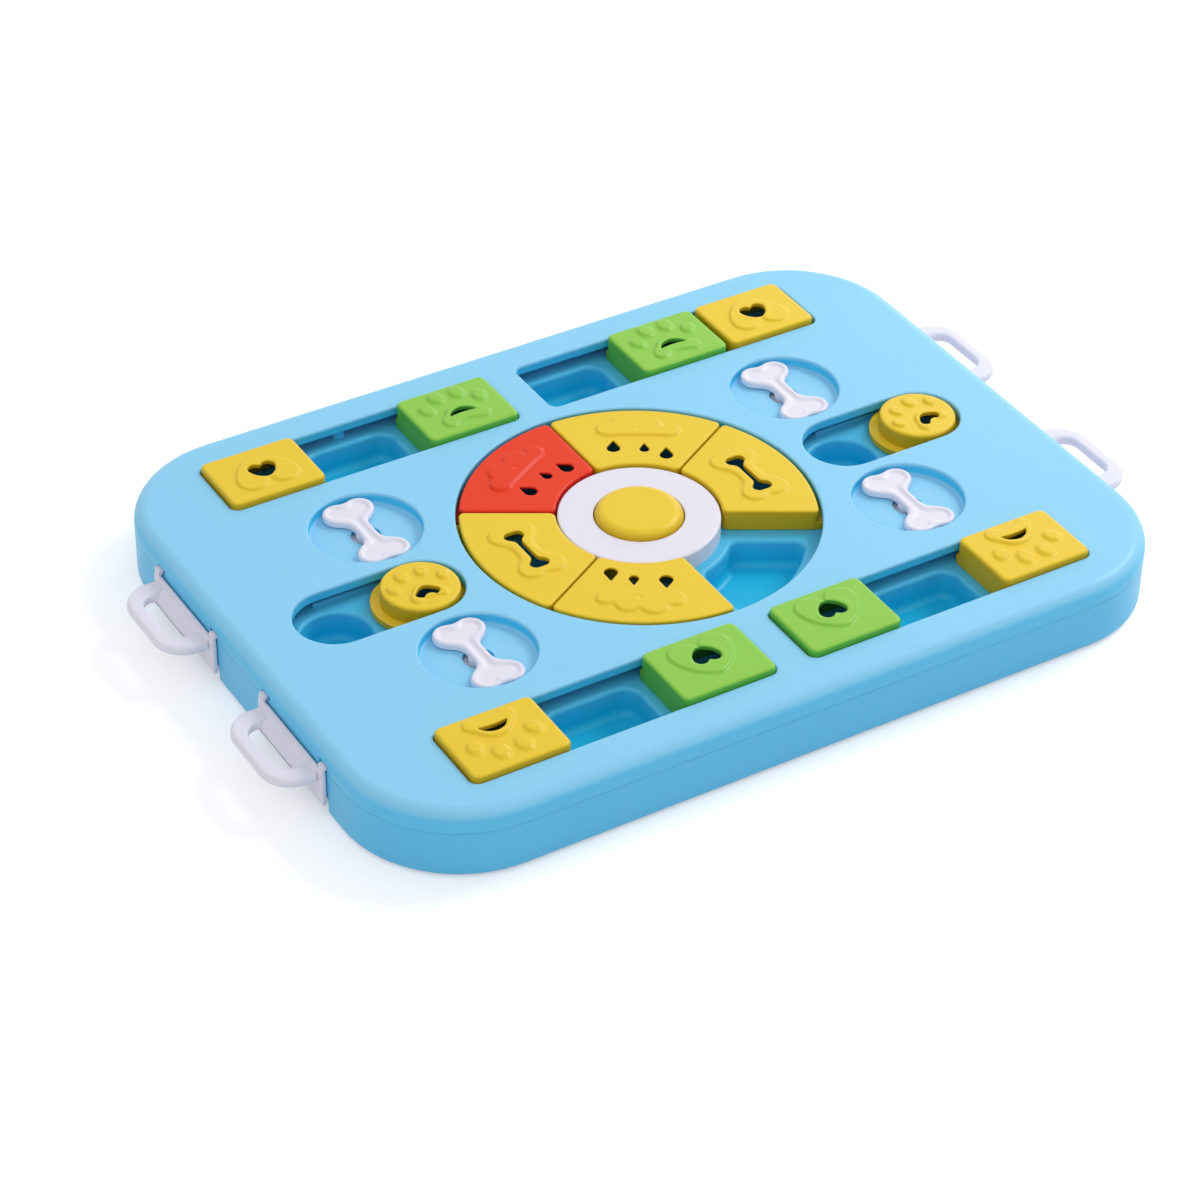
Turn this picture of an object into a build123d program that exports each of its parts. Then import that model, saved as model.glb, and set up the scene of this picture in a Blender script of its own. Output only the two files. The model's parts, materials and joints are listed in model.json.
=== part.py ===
"""Dog puzzle feeder: a two-part tray with sliding, turning and spinning treat covers.

Frame: millimetres, +Z up, origin on the ground under the middle of the tray.
+X runs along the long side, to the right; +Y runs across the board, to the back.
The lower shell (tray) carries the food pockets. The upper shell (cover) has the
cut-outs that guide the treat covers, and four side latches hold it down.
"""

import os
from math import cos, radians, sin, sqrt

from build123d import *

# ---------------------------------------------------------------- overall shape
body_length = 380.0        # along X
body_width = 282.0         # along Y
body_corner = 53.0         # plan radius of the four corners
top_z = 32.0               # flat top of the cover
seam_z = 22.5              # joint line between cover and tray
tray_bottom_z = 1.0        # the tray's edge stands this far off the ground, on its feet
side_wall = 2.4            # outer walls of both shells
shoulder = 6.5             # rounding between the cover's top and its side
tray_edge = 2.0            # rounding of the tray's lower edge
hair = 0.3                 # air between a moving piece and what it slides on

# ---------------------------------------------------------------- cover details
cover_top = 2.4            # thickness of the cover's top plate
skirt_depth = 4.4          # rim that hangs round each cut-out, from the top face
skirt_wall = 1.6
rim_round = 0.9            # rounding of the cut-outs' upper edges

# ---------------------------------------------------------------- tray details
deck_z = 22.0              # face that the treat covers slide on
deck_wall = 2.0
pocket_depth = 13.0
pocket_wall = 1.8
pocket_lip = 1.8           # rounding where a pocket meets the deck
pocket_foot = 3.5          # rounding between a pocket's wall and its floor
lip_height = 2.6           # tray lip that centres the cover
lip_wall = 1.5
lip_gap = 0.35
rib_wall = 1.8
rib_drop = 10.0            # height of the ribs under the deck
rib_gap_y = 1.8            # ribs along the board, from the well's edge
rib_gap_x = 3.2            # ribs across the board, from the well's edge

# ---------------------------------------------------------------- straight tracks
track_x = 78.6             # middle of a track from the board's middle
track_y = 103.7
track_length = 141.6
track_width = 35.6
track_corner = 4.2
block_length = 44.5
block_gap = 0.3            # block to the sides of its track
block_corner = 3.4
block_proud = 3.0          # block top above the cover
block_edge = 1.6           # rounding of a block's top edge
block_wall = 1.9
block_flange_side = 1.8    # foot of a block, held under the cover's skirt
block_flange_end = 0.7
flange_height = 3.2
end_gap = 0.6              # block to track end
flange_gap = 0.9           # foot to foot of two neighbours
pair_shift = 1.2           # the right back pair rests this far from its end
pocket_inset = 2.3         # pocket side to the side of its track
pocket_end = 0.4
pocket_bridge = 8.0        # deck between two pockets
pocket_corner = 7.0

# ---------------------------------------------------------------- short tracks
short_x = 125.5            # middle of a short track
short_run = 40.3           # distance between its two end centres
short_radius = 18.1
puck_gap_side = 1.1        # puck to the sides of its track
puck_flange = 4.0
puck_proud = 1.4
puck_gap = 1.0             # shortfall of the puck's travel at each end
round_pocket_inset = 2.9
guide_height = 1.6         # low ribs on the deck that keep the pucks in line
guide_wall = 1.6
guide_gap = 0.4

# ---------------------------------------------------------------- turning wedges
well_radius = 78.4
well_gap = 1.4             # wedges to the well's edge
wedge_inner_gap = 0.6
wedge_side_gap = 0.35      # each side of the 60 degree sector
wedge_corner = 2.6
wedge_proud = 0.3
wedge_edge = 1.2
wedge_wall = 2.0
wedge_flange = 3.5
wedge_angles = {
    "wedge_right": 0, "wedge_top": 60, "wedge_red": 120, "wedge_left": 180, "wedge_bottom": 240
}
bone_wedges = ("wedge_right", "wedge_left")
well_pocket_in = 4.9       # pocket edge to the hub ring
well_pocket_out = 5.5      # pocket edge to the wedges' outer side
well_pocket_side = 7.5     # pocket edge to the sector's boundary
well_pocket_corner = 4.5

# ---------------------------------------------------------------- centre button
ring_outer = 35.1
ring_drop = 1.3            # ring top below the cover's top
ring_wall = 2.2
ring_edge = 1.0
button_radius = 19.3
button_gap = 0.3
button_dome = 3.1          # dome above the ring
button_edge = 4.6          # rounding of the dome's edge
button_wall = 2.0
button_foot = 1.9          # flange that keeps the button under the ring
button_foot_height = 1.6
ring_tube_depth = 5.2
ring_tube_wall = 1.6
hub_pocket_radius = 24.5
hub_floor_z = 12.0
bulb_radius = 13.0
bulb_wall = 1.4
bulb_round = 5.0
reed_radius = 3.6
reed_height = 3.0
reed_bore = 1.6
ring_screw_circle = 29.0
ring_screw_count = 3
ring_boss_radius = 3.0

# ---------------------------------------------------------------- spinning bones
bone_x = 106.0
bone_y = 48.3
recess_radius = 24.4
recess_depth = 4.5
recess_foot = 1.4
recess_floor = 1.8
bone_tip_gap = 0.95        # tips of the lobes to the recess wall
bone_lobe = 6.3
bone_lobe_offset = 5.0     # lobe centre from the bone's long axis
bone_waist = 10.8
bone_blend = 2.4           # rounding between waist and lobes
bone_below = 1.0           # bone top below the cover's top
bone_dish = 0.7
bone_rim = 1.5
bone_hub_radius = 6.2
bone_hub_gap = 0.35
washer_radius = 8.6
washer_height = 1.2
screw_radius = 1.3
screw_head_radius = 2.7
screw_head_height = 1.2
screw_bite = 3.4           # length of screw in the plastic
screw_fit = 0.02

# ---------------------------------------------------------------- side latches
latch_y = 48.3
latch_width = 55.6
latch_gap = 0.4            # latch end to the tray
latch_plate = 1.9
latch_air = 0.35           # plate to the tray's side
latch_axis_z = 7.8
latch_axis_in = 2.4        # hinge axis inside the tray's side face
latch_barrel = 2.0
latch_bay = 2.7            # radius of the bay round the barrel
bay_wall = 1.8
pin_radius = 0.9
pin_fit = 0.02             # pin in the tray's bosses
pin_running = 0.06         # pin in the latch's barrel
pin_hold = 4.5             # length of pin in each boss
handle_reach = 21.4        # from the tray's side
handle_width = 50.0
handle_corner = 14.0
handle_z = 16.3            # underside of the handle
handle_height = 4.6
handle_edge = 1.4
slot_near = 8.8
slot_far = 14.8
slot_length = 31.0
slot_corner = 2.4
web_reach = 6.5            # sloped web between the handle and the plate
ear_width = 6.0
ear_rise = 2.9             # ear above the seam
ear_plate = 1.5
hook_depth = 1.0
hook_height = 2.1
notch_depth = 1.4
notch_play = 0.5

# ---------------------------------------------------------------- ornament
relief = 0.8               # raised height of paws, hearts, bones and clouds
relief_edge = 0.35
front_shift = 2.5          # the front row's figures stand this far to the back
heart_shift = -0.2
heart_size = (29.6, 25.4)
heart_hole = (12.4, 10.6)
heart_hole_shift = {1: -0.4, -1: 1.2}       # in the back row, in the front row
puck_turn = {"puck_left": 0.0, "puck_right": 20.0}
# toes: places of the outer and of the inner pair, and their size
block_toes = ((13.0, 4.2), (5.1, 10.8), 4.2)
puck_toes = ((12.0, 1.8), (4.7, 8.2), 3.4)
# pads and slots: width, height and middle
block_pad = (23.0, 14.6, -5.2)
puck_pad = (18.2, 13.0, -5.6)
block_slot = (12.7, 4.0, -5.3)
block_slot_wide = 3.0
puck_hole = (11.0, 6.4, -5.2)
wedge_figure = 55.5        # middle of the bones, from the board's middle
wedge_bone = (38.5, 6.2, 5.0, 13.5)        # length, lobe, lobe's offset, waist
wedge_bone_hole = (27.0, 2.7, 1.7, 3.2)
cloud_base = 56.0          # underside of the clouds, from the board's middle
# cloud's round tops: middle and radius
cloud_ends = ((-13.0, 5.2), (15.6, 4.8))   # these stand on the underside
cloud_tops = ((-4.6, 9.0, 7.0), (6.4, 8.4, 6.2))
# rain drops: place, radius and height
drops = ((-10.0, 47.6, 2.9, 8.5), (3.5, 47.0, 2.1, 6.3), (13.0, 42.6, 2.9, 8.5))

# ---------------------------------------------------------------- feet and posts
foot_in_x, foot_in_y = 20.0, 29.0      # foot centre from the tray's sides
foot_radius = 7.0
foot_sink = 1.4            # foot inside its boss
foot_gap = 0.05
foot_step = 1.2            # ledge that the foot bears on
foot_boss_wall = 1.6
post_out_y = 5.5           # posts beside the straight tracks, from their far sides
post_in_x = 17.5           # posts beside the short tracks, from the tray's sides
post_radius = 3.0
peg_radius = 1.9
peg_gap = 0.3
peg_length = 3.6
socket_wall = 1.5

# ---------------------------------------------------------------- derived places
side_x = body_length / 2
block_width = track_width - 2 * block_gap
pocket_length = (track_length - 2 * pocket_bridge - 2 * pocket_end) / 3
pocket_width = track_width - 2 * pocket_inset
pocket_pitch = pocket_length + pocket_bridge
puck_radius = short_radius - puck_gap_side
round_pocket_radius = short_radius - round_pocket_inset
wedge_outer = well_radius - well_gap
well_pocket_inner = ring_outer + well_pocket_in
well_pocket_outer = wedge_outer - well_pocket_out
rib_x = well_radius + rib_gap_x
rib_y = well_radius + rib_gap_y
bone_lobe_reach = recess_radius - bone_tip_gap - bone_lobe
bone_length = 2 * (sqrt(bone_lobe_reach**2 - bone_lobe_offset**2) + bone_lobe)
post_y = track_y + track_width / 2 + post_out_y
pocket_floor_z = deck_z - pocket_depth
under_deck_z = deck_z - deck_wall
slide_z = deck_z + hair
skirt_z = top_z - skirt_depth
ring_z = top_z - ring_drop
recess_z = top_z - recess_depth
block_top_z = top_z + block_proud
puck_top_z = top_z + puck_proud
wedge_top_z = top_z + wedge_proud
wedge_inner = ring_outer + wedge_inner_gap
bone_top_z = top_z - bone_below
bone_under_z = recess_z + hair
washer_z = recess_z - recess_floor - hair - washer_height
button_top_z = ring_z + button_dome
button_foot_z = ring_z - ring_tube_depth - hair - button_foot_height
bulb_top_z = button_top_z - button_wall - hair
block_home = track_length / 2 - end_gap - block_length / 2
block_step = block_length + 2 * block_flange_end + flange_gap
puck_home = short_run / 2 - puck_gap
ear_y = (latch_width - ear_width) / 2

# name: (track's X, row, distance from the track's middle, figure)
back, front = 1, -1
blocks = {
    "block_left_back_heart": (-track_x, back, -block_home, "heart"),
    "block_left_back_paw": (-track_x, back, block_home, "paw"),
    "block_right_back_paw": (track_x, back, block_home - pair_shift - block_step, "paw"),
    "block_right_back_heart": (track_x, back, block_home - pair_shift, "heart"),
    "block_left_front_paw": (-track_x, front, -block_home, "paw"),
    "block_left_front_heart": (-track_x, front, block_home, "heart"),
    "block_right_front_heart": (track_x, front, -block_home, "heart"),
    "block_right_front_paw": (track_x, front, block_home, "paw"),
}
pucks = {"puck_left": -short_x + puck_home, "puck_right": short_x + puck_home}
corners = {
    "left_back": (-1, 1), "left_front": (-1, -1), "right_back": (1, 1), "right_front": (1, -1)
}
tracks = [(sx * track_x, sy * track_y) for sx, sy in corners.values()]
bone_spots = {name: (sx * bone_x, sy * bone_y) for name, (sx, sy) in corners.items()}
latch_spots = {name: (sx, sy * latch_y) for name, (sx, sy) in corners.items()}
foot_spots = [
    (sx * (side_x - foot_in_x), sy * (body_width / 2 - foot_in_y)) for sx, sy in corners.values()
]
post_spots = [(sx * track_x, sy * post_y) for sx, sy in corners.values()]
post_spots += [(side_x - post_in_x, 0), (post_in_x - side_x, 0)]
ring_screws = [
    (ring_screw_circle * cos(radians(a)), ring_screw_circle * sin(radians(a)))
    for a in range(30, 390, 360 // ring_screw_count)
]

os.makedirs("parts", exist_ok=True)


def spot(x, y, z, turn=0.0):
    """Horizontal sketch plane at a point, turned about Z."""
    return Plane(origin=(x, y, z), x_dir=(cos(radians(turn)), sin(radians(turn)), 0))


def side_plane(side, y):
    """Upright plane across a side wall: its X points outwards, its Y points up."""
    return Plane(origin=(side * side_x, y, 0), x_dir=(side, 0, 0), z_dir=(0, -side, 0))


def edges_at(part, z, low=0.0, high=1e4):
    """Edges that lie flat at height z, with their middles between two radii from Z."""
    flat = part.edges().filter_by_position(Axis.Z, z - 0.001, z + 0.001)
    return flat.filter_by(lambda e: low <= Vector(e.center().X, e.center().Y, 0).length <= high)


# Flat figures. Each one draws into the sketch that is open when it is called.
def heart(width, height, up, y):
    """Heart about (0, y); its tip points to +Y (up=1) or to -Y (up=-1)."""
    half, tall = width / 2, -up * height / 2
    with BuildLine() as outline:
        lobe = ThreePointArc(
            (0, y + tall * 0.56), (half * 0.56, y + tall), (half, y + tall * 0.30)
        )
        TangentArc((half, y + tall * 0.30), (0, y - tall), tangent=lobe % 1)
        mirror(about=Plane.YZ)
    make_face(outline.edges())


def crescent(width, rise, y, wide):
    """Slot on a chord at height y: its upper arc rises, and its lower arc follows it."""
    with BuildLine() as outline:
        ThreePointArc((-width / 2, y), (0, y + rise), (width / 2, y))
        ThreePointArc((width / 2, y), (0, y + rise - wide), (-width / 2, y))
    make_face(outline.edges())


def paw_pad(width, height, y):
    """Main pad about (0, y): round top, two lobes below and a notch between them."""
    half, tall = width / 2, height / 2
    with BuildLine() as outline:
        Spline(
            (0, y + tall),
            (half * 0.66, y + tall * 0.42),
            (half, y - tall * 0.45),
            (half * 0.66, y - tall),
            (0, y - tall * 0.56),
            (-half * 0.66, y - tall),
            (-half, y - tall * 0.45),
            (-half * 0.66, y + tall * 0.42),
            periodic=True,
        )
    make_face(outline.edges())


def paw_toes(outer, inner, size):
    """Four oval toes at (+-x, y) of the outer and of the inner pair."""
    for side in (-1, 1):
        with Locations(Location((side * outer[0], outer[1], 0), (0, 0, -side * 22))):
            Ellipse(size * 0.84, size * 1.04)
        with Locations(Location((side * inner[0], inner[1], 0), (0, 0, -side * 6))):
            Ellipse(size * 0.91, size * 1.16)


def bone_figure(length, lobe, offset, waist):
    """Bone along Y: two lobes at each end, joined by a straight waist."""
    end = length / 2 - lobe
    Rectangle(waist, 2 * end)
    with Locations((offset, end), (-offset, end), (offset, -end), (-offset, -end)):
        Circle(lobe)


def cloud():
    """Cloud that stands on the X axis, with four round tops."""
    left, right = cloud_ends
    for x, y, radius in [(*left, left[1]), (*right, right[1]), *cloud_tops]:
        with Locations((x, y)):
            Circle(radius)
    Polygon((left[0], 0), (right[0], 0), right, left, align=None)


def drop(radius, height):
    """Rain drop with its tip towards +Y, centred on its round end."""
    Circle(radius)
    Polygon(
        (radius * 0.9, radius * 0.44), (0, height - radius), (-radius * 0.9, radius * 0.44),
        align=None,
    )


def sector(inner, outer, side_gap):
    """60 degree ring sector about +Y, with its sides moved in by side_gap."""
    apex, far = 2 * side_gap, 2 * outer
    reach, rise = far * sin(radians(30)), apex + far * cos(radians(30))
    Circle(outer)
    Circle(inner, mode=Mode.SUBTRACT)
    Polygon((0, apex), (reach, rise), (-reach, rise), align=None, mode=Mode.INTERSECT)


# ================================================================ cover
with BuildPart() as cover:
    inner_length = body_length - 2 * side_wall
    inner_width = body_width - 2 * side_wall
    with BuildSketch(Plane.XY.offset(seam_z)):
        RectangleRounded(body_length, body_width, body_corner)
    extrude(amount=top_z - seam_z)
    fillet(edges_at(cover, top_z), shoulder)
    with BuildSketch(Plane.XY.offset(seam_z)):
        RectangleRounded(inner_length, inner_width, body_corner - side_wall)
    extrude(amount=top_z - cover_top - shoulder / 2 - seam_z, mode=Mode.SUBTRACT)
    # a step inside the rounded shoulder keeps the wall's thickness there
    with BuildSketch(Plane.XY.offset(top_z - cover_top - shoulder / 2)):
        RectangleRounded(
            inner_length - shoulder, inner_width - shoulder, body_corner - side_wall - shoulder / 2
        )
    extrude(amount=shoulder / 2, mode=Mode.SUBTRACT)
    # skirts hang from the top plate, and the bones' dishes with them
    with BuildSketch(Plane.XY.offset(skirt_z)):
        with Locations(*tracks):
            RectangleRounded(
                track_length + 2 * skirt_wall,
                track_width + 2 * skirt_wall,
                track_corner + skirt_wall,
            )
        with Locations((short_x, 0), (-short_x, 0)):
            SlotCenterToCenter(short_run, 2 * (short_radius + skirt_wall))
        Circle(well_radius + skirt_wall)
    extrude(amount=skirt_depth - cover_top / 2)
    with BuildSketch(Plane.XY.offset(recess_z - recess_floor)):
        with Locations(*bone_spots.values()):
            Circle(recess_radius + skirt_wall)
    extrude(amount=recess_depth + recess_floor - cover_top / 2)
    # posts stand on the deck, and their pegs centre the cover
    with BuildSketch(Plane.XY.offset(deck_z)):
        with Locations(*post_spots):
            Circle(post_radius)
    extrude(amount=top_z - cover_top / 2 - deck_z)
    with BuildSketch(Plane.XY.offset(deck_z - peg_length)):
        with Locations(*post_spots):
            Circle(peg_radius)
    extrude(amount=peg_length)
    # the cut-outs themselves
    with BuildSketch(Plane.XY.offset(skirt_z)):
        with Locations(*tracks):
            RectangleRounded(track_length, track_width, track_corner)
        with Locations((short_x, 0), (-short_x, 0)):
            SlotCenterToCenter(short_run, 2 * short_radius)
        Circle(well_radius)
    extrude(amount=skirt_depth, mode=Mode.SUBTRACT)
    with BuildSketch(Plane.XY.offset(recess_z)):
        with Locations(*bone_spots.values()):
            Circle(recess_radius)
    extrude(amount=recess_depth, mode=Mode.SUBTRACT)
    fillet(edges_at(cover, recess_z).filter_by(GeomType.CIRCLE), recess_foot)
    with BuildSketch(Plane.XY.offset(recess_z - recess_floor)):
        with Locations(*bone_spots.values()):
            Circle(bone_hub_radius + bone_hub_gap)
    extrude(amount=recess_floor, mode=Mode.SUBTRACT)
    top_face = cover.faces().filter_by(Plane.XY).sort_by(Axis.Z)[-1]
    fillet([e for wire in top_face.inner_wires() for e in wire.edges()], rim_round)
    # notches in the side walls take the latches' ears
    with BuildSketch(Plane.XY.offset(seam_z + notch_play)):
        for side, y in latch_spots.values():
            x = side * (side_x - notch_depth / 2)
            with Locations((x, y - ear_y), (x, y + ear_y)):
                Rectangle(notch_depth, ear_width + 2 * latch_gap)
    extrude(amount=ear_rise, mode=Mode.SUBTRACT)
cover.part.label = "cover"
export_step(cover.part, "parts/cover.step")

# ================================================================ tray
track_pockets = [(x + n * pocket_pitch, y) for x, y in tracks for n in (-1, 0, 1)]
end_pockets = [(s * short_x + e * short_run / 2, 0) for s in (-1, 1) for e in (-1, 1)]
well_planes = [spot(0, 0, deck_z, a - 90) for a in range(0, 360, 60)]
bay_length = latch_width + 2 * latch_gap
bay_box = bay_length + 2 * (pin_hold + bay_wall)
with BuildPart() as tray:
    with BuildSketch(Plane.XY.offset(tray_bottom_z)):
        RectangleRounded(body_length, body_width, body_corner)
    extrude(amount=seam_z - tray_bottom_z)
    fillet(edges_at(tray, tray_bottom_z), tray_edge)
    with BuildSketch(Plane.XY.offset(deck_z)):
        RectangleRounded(inner_length, inner_width, body_corner - side_wall)
    extrude(amount=seam_z - deck_z, mode=Mode.SUBTRACT)
    with BuildSketch(Plane.XY.offset(tray_bottom_z)):
        RectangleRounded(inner_length, inner_width, body_corner - side_wall)
    extrude(amount=under_deck_z - tray_bottom_z, mode=Mode.SUBTRACT)
    # lip that the cover drops over
    with BuildSketch(Plane.XY.offset(deck_z)):
        lip_in = side_wall + lip_gap
        RectangleRounded(
            body_length - 2 * lip_in, body_width - 2 * lip_in, body_corner - lip_in
        )
        lip_in += lip_wall
        RectangleRounded(
            body_length - 2 * lip_in, body_width - 2 * lip_in, body_corner - lip_in,
            mode=Mode.SUBTRACT,
        )
    extrude(amount=seam_z - deck_z + lip_height)
    # pocket walls and floors under the deck
    with BuildSketch(Plane.XY.offset(deck_z)):
        with Locations(*track_pockets):
            RectangleRounded(
                pocket_length + 2 * pocket_wall,
                pocket_width + 2 * pocket_wall,
                pocket_corner + pocket_wall,
            )
        with Locations(*end_pockets):
            Circle(round_pocket_radius + pocket_wall)
    extrude(amount=-pocket_depth - pocket_wall)
    with BuildSketch(*well_planes):
        sector(
            well_pocket_inner - pocket_wall,
            well_pocket_outer + pocket_wall,
            well_pocket_side - pocket_wall,
        )
    extrude(amount=-pocket_depth - pocket_wall)
    with BuildSketch(Plane.XY.offset(hub_floor_z - pocket_wall)):
        Circle(hub_pocket_radius + pocket_wall)
    extrude(amount=deck_z - hub_floor_z + pocket_wall)
    # ribs, foot bosses, peg sockets and screw bosses
    with BuildSketch(Plane.XY.offset(under_deck_z - rib_drop)):
        with Locations((0, rib_y), (0, -rib_y)):
            Rectangle(body_length - side_wall, rib_wall)
        with Locations((rib_x, 0), (-rib_x, 0)):
            Rectangle(rib_wall, 2 * rib_y)
    extrude(amount=rib_drop)
    with BuildSketch(Plane.XY.offset(tray_bottom_z)):
        with Locations(*foot_spots):
            Circle(foot_radius + foot_boss_wall)
            Circle(foot_radius - foot_step, mode=Mode.SUBTRACT)
    extrude(amount=under_deck_z - tray_bottom_z)
    with BuildSketch(Plane.XY.offset(tray_bottom_z)):
        with Locations(*foot_spots):
            Circle(foot_radius + foot_gap)
    extrude(amount=foot_sink, mode=Mode.SUBTRACT)
    with BuildSketch(Plane.XY.offset(deck_z - peg_length - hair)):
        with Locations(*post_spots):
            Circle(peg_radius + peg_gap + socket_wall)
    extrude(amount=peg_length + hair)
    with BuildSketch(Plane.XY.offset(deck_z - peg_length - hair)):
        with Locations(*post_spots):
            Circle(peg_radius + peg_gap)
        with Locations(*ring_screws):
            Circle(screw_radius + screw_fit)
    extrude(amount=peg_length + hair, mode=Mode.SUBTRACT)
    # bays for the latches' barrels, open towards the ground
    with BuildSketch(Plane.XY.offset(tray_bottom_z)):
        bay_in = latch_axis_in + latch_bay
        for side, y in latch_spots.values():
            with Locations((side * (side_x - (bay_in + bay_wall) / 2 - tray_edge / 2), y)):
                Rectangle(bay_in + bay_wall - tray_edge, bay_box)
    extrude(amount=latch_axis_z + latch_bay + bay_wall - tray_bottom_z)
    with BuildSketch(Plane.XY.offset(tray_bottom_z)):
        for side, y in latch_spots.values():
            with Locations((side * (side_x - bay_in / 2 + tray_edge / 2), y)):
                Rectangle(bay_in + tray_edge, bay_length)
    extrude(amount=latch_axis_z + latch_bay - tray_bottom_z, mode=Mode.SUBTRACT)
    for side, y in latch_spots.values():
        with BuildSketch(side_plane(side, y)):
            with Locations((-latch_axis_in, latch_axis_z)):
                Circle(pin_radius + pin_fit)
        extrude(amount=bay_length / 2 + pin_hold, both=True, mode=Mode.SUBTRACT)
    # the pockets, with rounded lips and feet
    with BuildSketch(Plane.XY.offset(deck_z)):
        with Locations(*track_pockets):
            RectangleRounded(pocket_length, pocket_width, pocket_corner)
        with Locations(*end_pockets):
            Circle(round_pocket_radius)
    extrude(amount=-pocket_depth, mode=Mode.SUBTRACT)
    with BuildSketch(*well_planes) as well_pockets:
        sector(well_pocket_inner, well_pocket_outer, well_pocket_side)
        fillet(well_pockets.vertices(), well_pocket_corner)
    extrude(amount=-pocket_depth, mode=Mode.SUBTRACT)
    fillet(edges_at(tray, pocket_floor_z), pocket_foot)
    deck_face = tray.faces().filter_by(Plane.XY).filter_by_position(
        Axis.Z, deck_z - 0.001, deck_z + 0.001
    ).sort_by(SortBy.AREA)[-1]
    lips = [e for wire in deck_face.inner_wires() for e in wire.edges()]
    largest_hole = 2 * 3.2 * (peg_radius + peg_gap)
    # the deck between two round pockets limits the rounding
    lip = min(pocket_lip, 0.4 * (short_run - 2 * round_pocket_radius))
    fillet([e for e in lips if e.length > largest_hole], lip)
    # the hub's own pocket, with an air hole for the squeaker
    with BuildSketch(Plane.XY.offset(hub_floor_z)):
        Circle(hub_pocket_radius)
    extrude(amount=deck_z - hub_floor_z, mode=Mode.SUBTRACT)
    with BuildSketch(Plane.XY.offset(hub_floor_z - pocket_wall)):
        Circle(reed_bore)
    extrude(amount=pocket_wall, mode=Mode.SUBTRACT)
    # low guides beside the pucks' feet
    with BuildSketch(Plane.XY.offset(deck_z)):
        guide_y = puck_radius + puck_flange + guide_gap + guide_wall / 2
        with Locations(*[(sx * short_x, sy * guide_y) for sx, sy in corners.values()]):
            Rectangle(short_run, guide_wall)
    extrude(amount=guide_height)
tray.part.label = "tray"
export_step(tray.part, "parts/tray.step")

# ================================================================ sliding blocks
for name, (middle, row, away, figure) in blocks.items():
    x, y = middle + away, row * track_y
    shift = 0 if row == back else front_shift
    with BuildPart() as block:
        with BuildSketch(spot(x, y, slide_z)):
            RectangleRounded(block_length, block_width, block_corner)
        extrude(amount=block_top_z - slide_z)
        fillet(block.faces().sort_by(Axis.Z)[-1].edges(), block_edge)
        with BuildSketch(spot(x, y, slide_z)):
            RectangleRounded(
                block_length + 2 * block_flange_end,
                block_width + 2 * block_flange_side,
                block_corner,
            )
        extrude(amount=flange_height)
        if figure == "paw":
            paw_plane = spot(x, y + shift, block_top_z, 0 if row == back else 180)
            with BuildSketch(paw_plane):
                paw_toes(*block_toes)
                paw_pad(*block_pad)
        else:
            heart_plane = spot(x, y + shift + heart_shift, block_top_z)
            with BuildSketch(heart_plane):
                heart(*heart_size, row, 0)
        extrude(amount=relief)
        tops = block.faces().filter_by(Plane.XY).filter_by_position(
            Axis.Z, block_top_z + relief - 0.001, block_top_z + relief + 0.001
        )
        fillet([e for f in tops for e in f.outer_wire().edges()], relief_edge)
        with BuildSketch(spot(x, y, slide_z)):
            RectangleRounded(
                block_length - 2 * block_wall, block_width - 2 * block_wall,
                block_corner - block_wall,
            )
        extrude(amount=block_top_z - block_wall - slide_z, mode=Mode.SUBTRACT)
        # the smell hole through the top
        if figure == "paw":
            with BuildSketch(paw_plane.offset(-block_wall)):
                crescent(*block_slot, block_slot_wide)
        else:
            with BuildSketch(heart_plane.offset(-block_wall)):
                heart(*heart_hole, -row, heart_hole_shift[row])
        extrude(amount=block_wall + relief, mode=Mode.SUBTRACT)
    block.part.label = name
    export_step(block.part, f"parts/{name}.step")

# ================================================================ round pucks
for name, x in pucks.items():
    with BuildPart() as puck:
        with BuildSketch(spot(x, 0, slide_z)):
            Circle(puck_radius)
        extrude(amount=puck_top_z - slide_z)
        fillet(puck.faces().sort_by(Axis.Z)[-1].edges(), block_edge)
        with BuildSketch(spot(x, 0, slide_z)):
            Circle(puck_radius + puck_flange)
        extrude(amount=flange_height)
        paw_plane = spot(x, 0, puck_top_z, puck_turn[name])
        with BuildSketch(paw_plane):
            paw_toes(*puck_toes)
            paw_pad(*puck_pad)
        extrude(amount=relief)
        tops = puck.faces().filter_by(Plane.XY).filter_by_position(
            Axis.Z, puck_top_z + relief - 0.001, puck_top_z + relief + 0.001
        )
        fillet([e for f in tops for e in f.outer_wire().edges()], relief_edge)
        with BuildSketch(spot(x, 0, slide_z)):
            Circle(puck_radius - block_wall)
        extrude(amount=puck_top_z - block_wall - slide_z, mode=Mode.SUBTRACT)
        with BuildSketch(paw_plane.offset(-block_wall)):
            paw_pad(*puck_hole)
        extrude(amount=block_wall + relief, mode=Mode.SUBTRACT)
    puck.part.label = name
    export_step(puck.part, f"parts/{name}.step")

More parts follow.
